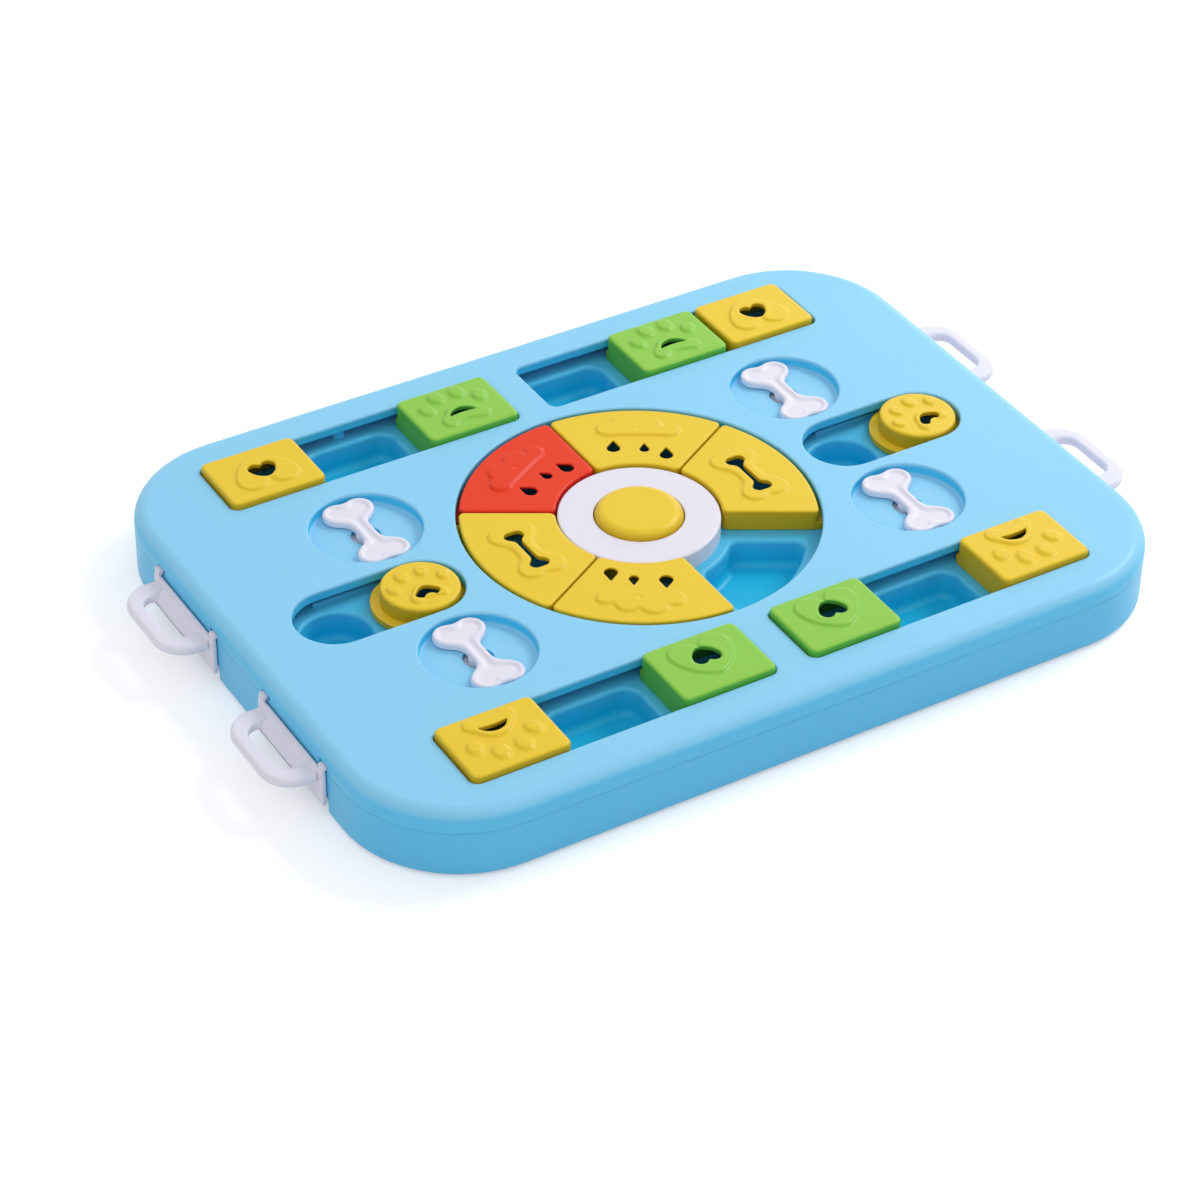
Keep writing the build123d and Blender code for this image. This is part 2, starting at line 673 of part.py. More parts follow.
# ================================================================ turning wedges
for name, angle in wedge_angles.items():
    turn = angle - 90
    with BuildPart() as wedge:
        with BuildSketch(spot(0, 0, slide_z, turn)) as outline:
            sector(wedge_inner, wedge_outer, wedge_side_gap)
            fillet(outline.vertices(), wedge_corner)
        extrude(amount=wedge_top_z - slide_z)
        fillet(wedge.faces().sort_by(Axis.Z)[-1].edges(), wedge_edge)
        with BuildSketch(spot(0, 0, slide_z, turn)) as outline:
            sector(wedge_outer - wedge_wall, wedge_outer + wedge_flange, wedge_side_gap)
            fillet(outline.vertices(), wedge_wall / 2)
        extrude(amount=flange_height)
        with BuildSketch(spot(0, 0, wedge_top_z, turn)):
            if name in bone_wedges:
                with Locations(Location((0, wedge_figure, 0), (0, 0, 90))):
                    bone_figure(*wedge_bone)
            else:
                with Locations((0, cloud_base)):
                    cloud()
        extrude(amount=relief)
        tops = wedge.faces().filter_by(Plane.XY).filter_by_position(
            Axis.Z, wedge_top_z + relief - 0.001, wedge_top_z + relief + 0.001
        )
        fillet([e for f in tops for e in f.outer_wire().edges()], relief_edge)
        with BuildSketch(spot(0, 0, slide_z, turn)) as outline:
            sector(wedge_inner + wedge_wall, wedge_outer - wedge_wall, wedge_side_gap + wedge_wall)
            fillet(outline.vertices(), wedge_corner / 2)
        extrude(amount=wedge_top_z - wedge_wall - slide_z, mode=Mode.SUBTRACT)
        with BuildSketch(spot(0, 0, wedge_top_z - wedge_wall, turn)):
            if name in bone_wedges:
                with Locations(Location((0, wedge_figure, 0), (0, 0, 90))):
                    bone_figure(*wedge_bone_hole)
            else:
                for u, v, radius, height in drops:
                    with Locations((u, v)):
                        drop(radius, height)
        extrude(amount=wedge_wall + relief, mode=Mode.SUBTRACT)
    wedge.part.label = name
    export_step(wedge.part, f"parts/{name}.step")

# ================================================================ hub ring
with BuildPart() as hub_ring:
    with BuildSketch(Plane.XY.offset(deck_z)):
        Circle(ring_outer)
    extrude(amount=ring_z - deck_z)
    fillet(hub_ring.faces().sort_by(Axis.Z)[-1].edges(), ring_edge)
    with BuildSketch(Plane.XY.offset(deck_z)):
        Circle(ring_outer - ring_wall)
    extrude(amount=ring_z - ring_wall - deck_z, mode=Mode.SUBTRACT)
    with BuildSketch(Plane.XY.offset(ring_z - ring_tube_depth)):
        Circle(button_radius + button_gap + ring_tube_wall)
    extrude(amount=ring_tube_depth - ring_wall / 2)
    with BuildSketch(Plane.XY.offset(deck_z)):
        with Locations(*ring_screws):
            Circle(ring_boss_radius)
    extrude(amount=ring_z - ring_wall / 2 - deck_z)
    with BuildSketch(Plane.XY.offset(deck_z)):
        with Locations(*ring_screws):
            Circle(screw_radius + screw_fit)
    extrude(amount=screw_bite + hair, mode=Mode.SUBTRACT)
    with BuildSketch(Plane.XY.offset(deck_z)):
        Circle(button_radius + button_gap)
    extrude(amount=ring_z - deck_z, mode=Mode.SUBTRACT)
    fillet(
        edges_at(hub_ring, ring_z).filter_by(GeomType.CIRCLE).sort_by(SortBy.LENGTH)[0],
        ring_edge / 2,
    )
hub_ring.part.label = "hub_ring"
export_step(hub_ring.part, "parts/hub_ring.step")

with BuildPart() as ring_screw_group:
    with BuildSketch(Plane.XY.offset(under_deck_z - screw_head_height)):
        with Locations(*ring_screws):
            Circle(screw_head_radius)
    extrude(amount=screw_head_height)
    with BuildSketch(Plane.XY.offset(under_deck_z)):
        with Locations(*ring_screws):
            Circle(screw_radius)
    extrude(amount=deck_wall + screw_bite)
ring_screw_group.part.label = "ring_screws"
export_step(ring_screw_group.part, "parts/ring_screws.step")

# ================================================================ squeaker
with BuildPart() as button:
    with BuildSketch(Plane.XY.offset(button_foot_z)):
        Circle(button_radius)
    extrude(amount=button_top_z - button_foot_z)
    fillet(button.faces().sort_by(Axis.Z)[-1].edges(), button_edge)
    with BuildSketch(Plane.XY.offset(button_foot_z)):
        Circle(button_radius + button_foot)
    extrude(amount=button_foot_height)
    with BuildSketch(Plane.XY.offset(button_foot_z)):
        Circle(button_radius - button_wall)
    extrude(amount=button_top_z - button_wall - button_foot_z, mode=Mode.SUBTRACT)
    fillet(
        edges_at(button, button_top_z - button_wall).filter_by(GeomType.CIRCLE),
        button_edge - button_wall,
    )
button.part.label = "squeaker_button"
export_step(button.part, "parts/squeaker_button.step")

with BuildPart() as bulb:
    with BuildSketch(Plane.XZ) as section:
        with BuildLine():
            Polyline(
                (reed_radius + foot_gap, hub_floor_z),
                (bulb_radius, hub_floor_z),
                (bulb_radius, bulb_top_z),
                (0, bulb_top_z),
                (0, bulb_top_z - bulb_wall),
                (bulb_radius - bulb_wall, bulb_top_z - bulb_wall),
                (bulb_radius - bulb_wall, hub_floor_z + bulb_wall),
                (reed_radius + foot_gap, hub_floor_z + bulb_wall),
                close=True,
            )
        make_face()
        shoulders = section.vertices().filter_by_position(
            Axis.X, bulb_radius - bulb_wall - 0.01, bulb_radius + 0.01
        ).sort_by(Axis.Y)[-2:]
        fillet(shoulders[0], bulb_round - bulb_wall)
        fillet(section.vertices().sort_by(lambda v: v.X + v.Y)[-1], bulb_round)
    revolve(axis=Axis.Z)
bulb.part.label = "squeaker_bulb"
export_step(bulb.part, "parts/squeaker_bulb.step")

with BuildPart() as reed:
    with BuildSketch(Plane.XY.offset(hub_floor_z)):
        Circle(reed_radius)
        Circle(reed_bore, mode=Mode.SUBTRACT)
    extrude(amount=reed_height)
reed.part.label = "squeaker_reed"
export_step(reed.part, "parts/squeaker_reed.step")

# ================================================================ spinning bones
for name, (x, y) in bone_spots.items():
    with BuildPart() as bone:
        with BuildSketch(spot(x, y, bone_under_z)) as outline:
            bone_figure(bone_length, bone_lobe, bone_lobe_offset, bone_waist)
            waist = outline.vertices().filter_by(
                lambda v: abs(abs(v.X) - bone_waist / 2) < 0.01
            )
            fillet(waist, bone_blend)
        extrude(amount=bone_top_z - bone_under_z)
        fillet(bone.faces().sort_by(Axis.Z)[-1].edges(), bone_rim / 2)
        with BuildSketch(spot(x, y, bone_top_z - bone_dish)):
            bone_figure(
                bone_length - 2 * bone_rim, bone_lobe - bone_rim, bone_lobe_offset,
                bone_waist - 2 * bone_rim,
            )
        extrude(amount=bone_dish, mode=Mode.SUBTRACT)
        with BuildSketch(spot(x, y, washer_z + washer_height)):
            Circle(bone_hub_radius)
        extrude(amount=bone_under_z - washer_z - washer_height)
        with BuildSketch(spot(x, y, washer_z + washer_height)):
            Circle(screw_radius + screw_fit)
        extrude(amount=screw_bite, mode=Mode.SUBTRACT)
    bone.part.label = f"bone_{name}"
    export_step(bone.part, f"parts/bone_{name}.step")

    with BuildPart() as washer:
        with BuildSketch(spot(x, y, washer_z)):
            Circle(washer_radius)
            Circle(screw_radius + screw_fit, mode=Mode.SUBTRACT)
        extrude(amount=washer_height)
    washer.part.label = f"washer_{name}"
    export_step(washer.part, f"parts/washer_{name}.step")

    with BuildPart() as screw:
        with BuildSketch(spot(x, y, washer_z - screw_head_height)):
            Circle(screw_head_radius)
        extrude(amount=screw_head_height)
        with BuildSketch(spot(x, y, washer_z)):
            Circle(screw_radius)
        extrude(amount=washer_height + screw_bite)
    screw.part.label = f"screw_{name}"
    export_step(screw.part, f"parts/screw_{name}.step")

# ================================================================ side latches
for name, (side, y) in latch_spots.items():
    upright = side_plane(side, y)
    plate_out = latch_air + latch_plate
    with BuildPart() as latch:
        # plate, barrel and the bridge between them, drawn across the wall
        with BuildSketch(upright):
            with Locations(((latch_air + plate_out) / 2, (latch_axis_z + seam_z - hair) / 2)):
                Rectangle(latch_plate, seam_z - hair - latch_axis_z)
            with Locations((latch_air, latch_axis_z)):
                Circle(latch_plate)
            with Locations((latch_air - latch_plate, latch_axis_z)):
                Rectangle(2 * latch_plate, 2 * latch_plate, mode=Mode.SUBTRACT)
            with Locations((-latch_axis_in, latch_axis_z)):
                Circle(latch_barrel)
            with Locations(((plate_out - latch_axis_in) / 2, latch_axis_z + latch_barrel / 2)):
                Rectangle(plate_out + latch_axis_in, latch_barrel)
        extrude(amount=latch_width / 2, both=True)
        # sloped web on top of the handle
        with BuildSketch(upright):
            Polygon(
                (latch_air, handle_z + handle_height / 2),
                (web_reach + 2, handle_z + handle_height / 2),
                (web_reach, handle_z + handle_height),
                (plate_out, seam_z - hair),
                (latch_air, seam_z - hair),
                align=None,
            )
        extrude(amount=handle_width / 2 - handle_edge, both=True)
        # handle
        reach = handle_reach - latch_air
        with BuildSketch(Plane.XY.offset(handle_z)) as loop:
            with Locations((side * (side_x + latch_air + reach / 2), y)):
                Rectangle(reach, handle_width)
            fillet(loop.vertices().sort_by(Axis.X)[-2:] if side > 0
                   else loop.vertices().sort_by(Axis.X)[:2], handle_corner)
        extrude(amount=handle_height)
        fillet(
            edges_at(latch, handle_z).filter_by(
                lambda e: side * e.center().X > side_x + plate_out + handle_edge
            ),
            handle_edge,
        )
        fillet(
            edges_at(latch, handle_z + handle_height).filter_by(
                lambda e: side * e.center().X > side_x + web_reach + handle_edge
            ),
            handle_edge,
        )
        with BuildSketch(Plane.XY.offset(handle_z)):
            with Locations((side * (side_x + (slot_near + slot_far) / 2), y)):
                RectangleRounded(slot_far - slot_near, slot_length, slot_corner)
        extrude(amount=handle_height, mode=Mode.SUBTRACT)
        # ears with the hooks that hold the cover down
        for end in (-1, 1):
            with BuildSketch(side_plane(side, y + end * ear_y)):
                Polygon(
                    (latch_air, seam_z - 2 * ear_plate),
                    (latch_air + ear_plate, seam_z - 2 * ear_plate),
                    (latch_air + ear_plate, seam_z + ear_rise - ear_plate / 2),
                    (latch_air + ear_plate / 2, seam_z + ear_rise),
                    (-hook_depth, seam_z + ear_rise),
                    (0, seam_z + ear_rise - hook_height),
                    (latch_air, seam_z + ear_rise - hook_height),
                    align=None,
                )
            extrude(amount=ear_width / 2, both=True)
        # bore for the pin
        with BuildSketch(upright):
            with Locations((-latch_axis_in, latch_axis_z)):
                Circle(pin_radius + pin_running)
        extrude(amount=latch_width / 2, both=True, mode=Mode.SUBTRACT)
    latch.part.label = f"latch_{name}"
    export_step(latch.part, f"parts/latch_{name}.step")

with BuildPart() as pins:
    for side, y in latch_spots.values():
        with BuildSketch(side_plane(side, y)):
            with Locations((-latch_axis_in, latch_axis_z)):
                Circle(pin_radius)
        extrude(amount=latch_width / 2 + latch_gap + pin_hold, both=True)
pins.part.label = "latch_pins"
export_step(pins.part, "parts/latch_pins.step")

# ================================================================ rubber feet
with BuildPart() as feet:
    with BuildSketch(Plane.XY):
        with Locations(*foot_spots):
            Circle(foot_radius)
    extrude(amount=tray_bottom_z + foot_sink)
    fillet(edges_at(feet, 0), tray_bottom_z / 2)
feet.part.label = "feet"
export_step(feet.part, "parts/feet.step")
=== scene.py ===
# %% [markdown]
# # A dog puzzle feeder, from its frame to the picture
#
# The board is injection-moulded plastic: a tray with food pockets, a cover with cut-outs, treat
# covers that slide and turn, and bones that spin. Its measured frame is already built, so this
# lesson adds what makes it look real: softly moulded treat covers, plastics, light and a camera.

# %% Load the frame
import json
from math import cos, pi, radians, sin

import bpy
import numpy as np
from mathutils import Matrix, Vector

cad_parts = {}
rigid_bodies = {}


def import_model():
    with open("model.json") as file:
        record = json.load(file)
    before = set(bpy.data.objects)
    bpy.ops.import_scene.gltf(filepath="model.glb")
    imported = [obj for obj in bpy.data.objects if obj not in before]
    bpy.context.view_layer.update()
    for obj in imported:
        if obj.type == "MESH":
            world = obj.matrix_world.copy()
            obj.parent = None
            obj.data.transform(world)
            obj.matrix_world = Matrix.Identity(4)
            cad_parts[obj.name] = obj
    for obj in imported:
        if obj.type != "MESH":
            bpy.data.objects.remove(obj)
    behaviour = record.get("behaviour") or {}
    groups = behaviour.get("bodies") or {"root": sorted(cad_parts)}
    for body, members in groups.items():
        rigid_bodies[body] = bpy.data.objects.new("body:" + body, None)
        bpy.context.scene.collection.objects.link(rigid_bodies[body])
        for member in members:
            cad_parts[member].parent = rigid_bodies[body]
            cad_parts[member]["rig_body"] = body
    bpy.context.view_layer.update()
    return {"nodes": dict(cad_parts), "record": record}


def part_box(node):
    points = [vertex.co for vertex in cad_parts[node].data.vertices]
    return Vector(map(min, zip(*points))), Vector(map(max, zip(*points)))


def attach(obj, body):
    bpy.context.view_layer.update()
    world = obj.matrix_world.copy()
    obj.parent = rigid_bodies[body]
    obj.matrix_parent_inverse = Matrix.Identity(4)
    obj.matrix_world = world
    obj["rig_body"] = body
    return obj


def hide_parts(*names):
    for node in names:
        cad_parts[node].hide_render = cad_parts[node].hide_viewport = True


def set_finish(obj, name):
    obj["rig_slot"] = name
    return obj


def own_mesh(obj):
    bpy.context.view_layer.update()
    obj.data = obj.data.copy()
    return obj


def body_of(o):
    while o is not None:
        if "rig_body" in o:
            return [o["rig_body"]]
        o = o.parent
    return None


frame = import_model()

MM = 0.001
nodes = frame["nodes"]
scene = bpy.context.scene
print("pieces in the frame:", len(nodes))

# %% [markdown]
# ## The camera
#
# The board is seen from the front left, from above. A long lens keeps the far edge nearly as
# long as the near one. The camera's three axes come from its azimuth, elevation and roll.

# %% Camera
cover_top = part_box("cover")[1].z
azimuth, elevation, roll = radians(-31.671), radians(37.403), radians(1.03)
camera_place = Vector((-663.8, -1045.5, 899.1)) * MM + Vector((0, 0, cover_top))
focal_pixels, frame_pixels = 3589.0, 1200.0

back_axis = Vector((sin(azimuth) * cos(elevation), -cos(azimuth) * cos(elevation), sin(elevation)))
level_axis = Vector((cos(azimuth), sin(azimuth), 0))
rise_axis = back_axis.cross(level_axis)
right_axis = cos(roll) * level_axis + sin(roll) * rise_axis
up_axis = cos(roll) * rise_axis - sin(roll) * level_axis

lens = bpy.data.cameras.new("camera")
lens.sensor_width = 36.0
lens.lens = focal_pixels / frame_pixels * lens.sensor_width
lens.clip_end = 20.0
camera = bpy.data.objects.new("camera", lens)
scene.collection.objects.link(camera)
turn = Matrix((right_axis, up_axis, back_axis)).transposed()
camera.matrix_world = Matrix.Translation(camera_place) @ turn.to_4x4()
scene.camera = camera
scene.view_settings.view_transform = "Standard"
print("lens", round(lens.lens, 1), "mm at", [round(v, 3) for v in camera_place])

# %% [markdown]
# ## Smooth faces, crisp corners
#
# The frame's meshes are loose triangles. A Weld modifier joins their corners, and an Edge Split
# modifier parts them again where two faces meet at a real corner, so curved walls shade
# smoothly and corners stay sharp. A Weighted Normal modifier then lets the larger faces at a
# vertex decide its shading, which keeps flat faces flat beside their rounded edges. The frame's
# own vertices aren't touched.

# %% Smooth shading
corner_angle, weld_gap = radians(34), 0.002 * MM


def shade_smooth(piece):
    """Round faces shade as one; faces that meet at more than corner_angle keep their edge."""
    flags = np.ones(len(piece.data.polygons), dtype=bool)
    piece.data.polygons.foreach_set("use_smooth", flags)
    piece.modifiers.new("weld", "WELD").merge_threshold = weld_gap
    split = piece.modifiers.new("corners", "EDGE_SPLIT")
    split.split_angle = corner_angle
    split.use_edge_sharp = False
    piece.modifiers.new("flat_faces", "WEIGHTED_NORMAL").keep_sharp = True


for piece in nodes.values():
    shade_smooth(piece)
print("triangles:", sum(len(piece.data.polygons) for piece in nodes.values()))

# %% [markdown]
# ## Outlines as distances
#
# A moulded figure has no sharp lines: its edge swells out of the face. So each outline is
# written as a distance, a function of x and y that is negative inside, positive outside, and
# tells how far away the edge is. Any rounded height is then a function of that distance, and two
# outlines are joined softly by blending their distances. Lengths in these cells are millimetres.

# %% Distances to plain shapes
def disc(x, y, middle, radius):
    """How far (x, y) is from a circle's edge: the way to its middle, less its radius."""
    return np.hypot(x - middle[0], y - middle[1]) - radius


def rounded_box(x, y, length, width, corner):
    """Distance to a rectangle with round corners: that of a smaller one, less the radius."""
    out_x = np.abs(x) - length / 2 + corner
    out_y = np.abs(y) - width / 2 + corner
    outside = np.hypot(np.maximum(out_x, 0), np.maximum(out_y, 0))
    return outside + np.minimum(np.maximum(out_x, out_y), 0) - corner


def soft_union(a, b, blend):
    """Both figures in one: the smaller distance, less a bump where the two are alike."""
    share = np.clip(0.5 + 0.5 * (b - a) / blend, 0, 1)
    return b + (a - b) * share - blend * share * (1 - share)


def soft_common(a, b, blend):
    """What two figures share: a union turned inside out."""
    return -soft_union(-a, -b, blend)


def rounded_common(a, b, corner):
    """What two figures share, with a true arc of radius corner where their edges cross."""
    past = np.hypot(np.maximum(a + corner, 0), np.maximum(b + corner, 0))
    return past + np.minimum(np.maximum(a, b) + corner, 0) - corner


# %% [markdown]
# ## The figures on the covers
#
# Hearts, paws, bones, clouds and drops are unions of discs, boxes and arcs. Each function puts
# its figure about its own middle, so the same one serves as a raised figure and as a cut-out.

# %% Distances to the figures
def heart(x, y, width, height, tip):
    """Heart of two mirrored halves; each half is a small lobe arc that runs into a long arc.

    Both arcs meet at the widest point, where their middles lie on one line. tip is 1 or -1,
    the way in Y that the heart's tip points.
    """
    half, tall = width / 2, height / 2
    notch, crown = np.array((0, 0.56 * tall)), np.array((0.56 * half, tall))
    widest, point = np.array((half, 0.30 * tall)), np.array((0, -tall))
    # middle of the lobe's arc, equally far from its notch, crown and widest point
    pull = np.array((crown - notch, widest - notch)) * 2
    middle = np.linalg.solve(pull, [crown @ crown - notch @ notch, widest @ widest - notch @ notch])
    small = np.linalg.norm(widest - middle)
    outward = (widest - middle) / small
    chord = widest - point
    large = chord @ chord / (2 * outward @ chord)
    far = widest - outward * large
    up = -tip * y
    notch_blend, tip_corner = 0.08 * width, 0.05 * width
    lobes = soft_union(disc(x, up, middle, small), disc(-x, up, middle, small), notch_blend)
    sides = rounded_common(disc(x, up, far, large), disc(-x, up, far, large), tip_corner)
    above = outward[0] * (up - widest[1]) > outward[1] * (np.abs(x) - widest[0])
    return np.where(above, lobes, sides)


def crescent(x, y, width, rise, wide):
    """Slot between two arcs on one chord: inside the upper arc's circle, outside the lower's."""
    end_corner = 0.35

    def arc(height):
        radius = (width**2 / 4 + height**2) / (2 * height)
        return disc(x, y, (0, height - radius), radius)
    return rounded_common(arc(rise), -arc(rise - wide), end_corner)


def paw_pad(x, y, width, height):
    """Main pad of a paw: a round top and two lobes, less a soft notch between the lobes."""
    half, tall = width / 2, height / 2
    crown, lobe, notch = 0.74 * half, 0.56 * tall, 0.94 * tall      # the discs' radii
    notch_place = (0, -1.62 * tall)
    pad_blend, notch_blend = 0.16 * width, 0.14 * width
    top = disc(x, y, (0, tall - crown), crown)
    lobes = disc(np.abs(x), y, (half - lobe, lobe - tall), lobe)
    pad = soft_union(top, lobes, pad_blend)
    return soft_common(pad, -disc(x, y, notch_place, notch), notch_blend)


def bone(x, y, length, lobe, offset, waist):
    """Bone along Y: two round lobes at each end, softly joined to each other and to a waist."""
    end = length / 2 - lobe
    lobe_blend, waist_blend, waist_corner = 0.7 * lobe, 1.1 * lobe, 0.1
    pair = [disc(side * x, np.abs(y), (offset, end), lobe) for side in (-1, 1)]
    middle = rounded_box(x, y, waist, 2 * end, waist_corner)
    return soft_union(soft_union(*pair, lobe_blend), middle, waist_blend)


def cloud(x, y, ends, tops):
    """Cloud that stands on the X axis: round ends and tops (x, y, radius) over a flat base."""
    base_corner, puff_blend = 0.3, 2.5
    (left, low), (right, high) = ends
    figure = rounded_box(x - (left + right) / 2, y - low / 2, right - left, low, base_corner)
    for middle_x, middle_y, radius in ((left, low, low), (right, high, high), *tops):
        figure = soft_union(figure, disc(x, y, (middle_x, middle_y), radius), puff_blend)
    return figure


def drop(x, y, radius, height):
    """Rain drop: a large disc and a tiny one at its tip, with the two tangents they share."""
    tip = 0.25
    reach = height - radius - tip
    slant = (radius - tip) / reach
    lean = (1 - slant**2) ** 0.5
    side = np.abs(x)
    along = -side * slant + y * lean
    sides = side * lean + y * slant - radius
    ends = np.where(along < 0, disc(x, y, (0, 0), radius), disc(x, y, (0, reach), tip))
    return np.where((along < 0) | (along > lean * reach), ends, sides)


half_sector = pi / 6


def sector(x, y, inner, outer, side_gap, corner):
    """60 degree ring sector about +Y, its sides moved in by side_gap, its corners round."""
    radius = np.hypot(x, y)
    band = np.maximum(radius - outer, inner - radius)
    sides = np.abs(x) * cos(half_sector) - y * sin(half_sector) + side_gap
    return rounded_common(band, sides, corner)


# %% [markdown]
# ## From a distance to a mesh
#
# A face of a cover is a fine square grid. Cells outside the outline are dropped, and the ragged
# rim that is left moves onto the outline along the distance's slope. From that rim, rings are
# carried outwards and down, one for each point of a profile, so walls and rounded edges follow
# the outline whatever its shape. The face under the cover repeats the upper grid, upside down.

# %% Grid inside an outline
newton_steps, nearby = 5, 1e-3
least_slope, longest = 0.05, 1.0


def march(field, x, y, level=0.0):
    """Points moved along a field's slope until the field has the given level there.

    Each of Newton's steps is the missing height divided by the slope, which comes from
    differences to both sides. A step is at most longest long.
    """
    for _ in range(newton_steps):
        slope_x = (field(x + nearby, y) - field(x - nearby, y)) / (2 * nearby)
        slope_y = (field(x, y + nearby) - field(x, y - nearby)) / (2 * nearby)
        steep = np.maximum(np.hypot(slope_x, slope_y), least_slope)
        way = np.clip((level - field(x, y)) / steep, -longest, longest) / steep
        x, y = x + way * slope_x, y + way * slope_y
    return x, y


def grid_inside(field, reach, step):
    """Square cells with no corner over half a step outside, within (low, high) of X and of Y.

    Gives the points, the cells and the rim's edges. A rim edge belongs to one cell only, so
    its reverse is missing from the list. The rim's points then march onto the outline.
    """
    (low_x, high_x), (low_y, high_y) = reach
    columns = np.arange(low_x, high_x + step, step)
    rows = np.arange(low_y, high_y + step, step)
    x, y = (table.ravel() for table in np.meshgrid(columns, rows, indexing="ij"))
    number = np.arange(x.size).reshape(len(columns), len(rows))
    corners = (number[:-1, :-1], number[1:, :-1], number[1:, 1:], number[:-1, 1:])
    cells = np.stack([corner.ravel() for corner in corners], axis=1)
    cells = cells[(field(x, y) <= step / 2)[cells].all(axis=1)]
    used, cells = np.unique(cells, return_inverse=True)
    cells = cells.reshape(-1, 4)
    x, y = x[used], y[used]
    edges = np.concatenate([cells[:, [k, (k + 1) % 4]] for k in range(4)])
    rim = edges[~np.isin(edges @ (len(x), 1), edges @ (1, len(x)))]
    ends = np.unique(rim)
    x[ends], y[ends] = march(field, x[ends], y[ends])
    return x, y, cells, rim


# %% Closed shell between two faces
def closed_shell(face, top, bottom, edges):
    """One closed mesh: a top face, a bottom face and the rings that join their rims.

    face is what grid_inside gives; top and bottom are heights, one or one for each point.
    edges lists (rim edges, rings), and a ring is a function of the rim points that gives
    their x, y and z.
    """
    x, y, cells, _ = face
    points = [np.stack(np.broadcast_arrays(x, y, z), 1) for z in (top, bottom)]
    quads = [cells, cells[:, ::-1] + len(x)]
    filled = 2 * len(x)
    for rim, rings in edges:
        ends = np.unique(rim)
        place = np.zeros(len(x), dtype=int)
        place[ends] = np.arange(len(ends))
        above = rim
        for ring in rings:
            points.append(np.stack(np.broadcast_arrays(*ring(ends)), 1))
            below = place[rim] + filled
            quads.append(np.hstack([above[:, ::-1], below]))
            filled += len(ends)
            above = below
        below = rim + len(x)
        quads.append(np.hstack([above[:, ::-1], below]))
    return np.concatenate(points), np.concatenate(quads)


slot_of = {part["node"]: part["material_slot"] for part in frame["record"]["subparts"]}
new_pieces = []


def new_piece(stands_for, points, quads, move=(0, 0), angle=0.0):
    """A mesh in metres, turned about Z and moved, that rides with the frame's piece it covers."""
    name = f"{stands_for}_moulding"
    c, s = cos(angle), sin(angle)
    placed = points @ np.array(((c, s, 0), (-s, c, 0), (0, 0, 1))) + (*move, 0)
    mesh = bpy.data.meshes.new(name)
    mesh.from_pydata(placed * MM, [], quads)
    piece = bpy.data.objects.new(name, mesh)
    scene.collection.objects.link(piece)
    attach(piece, body_of(nodes[stands_for])[0])
    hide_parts(stands_for)
    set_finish(piece, slot_of[stands_for])
    shade_smooth(piece)
    new_pieces.append(piece)
    return piece


# %% [markdown]
# ## A treat cover
#
# Blocks, pucks and wedges are the same kind of moulding: an open box upside down. The top has a
# raised figure and a cut-out to smell through, its edge is rounded, the wall goes straight down
# to a foot that the cover's skirt holds, and the inside is hollow. So one function makes all of
# them from an outline, a cut-out and a raised figure.

# %% Cover from an outline
grid_step = 0.4
on_edge = grid_step / 10                 # within this, a rim's point lies on an edge
relief = 1.15         # height of the toes, the highest of the raised figures
flat_share = 0.85     # the other figures' height, as a share of that
swell = 1.6           # width over which a figure rises
lip = 0.55            # rounding of a cut-out's edges
bead = 0.12           # height of the low bead round a figure's cut-out
bead_place, bead_width = 1.6, 0.7        # from the cut-out, and to each side
top_plate = 1.3
foot_height = 3.2
foot_bevel, slim_foot = 0.3, 0.85        # bevel's height, and the foot's share above the bevel
round_steps = np.radians(np.linspace(0, 90, 7))


def rise(distance, width=swell):
    """0 outside a figure, 1 well inside it, in a smooth step width wide."""
    share = np.clip(-distance / width, 0, 1)
    return share * share * (3 - 2 * share)


def ring_at(face, outline, level, z):
    """The rim's points where the outline's distance is level, at height z (one or one each)."""
    def ring(ends):
        x, y = march(outline, face[0][ends], face[1][ends], level)
        return x, y, z(ends) if callable(z) else z
    return ring


def rounded_edge(face, outline, top, radius):
    """Rings round an outline's upper edge, from radius inside it to radius below the top."""
    return [
        ring_at(face, outline, radius * (sin(t) - 1), top - radius * (1 - cos(t)))
        for t in round_steps[1:]
    ]


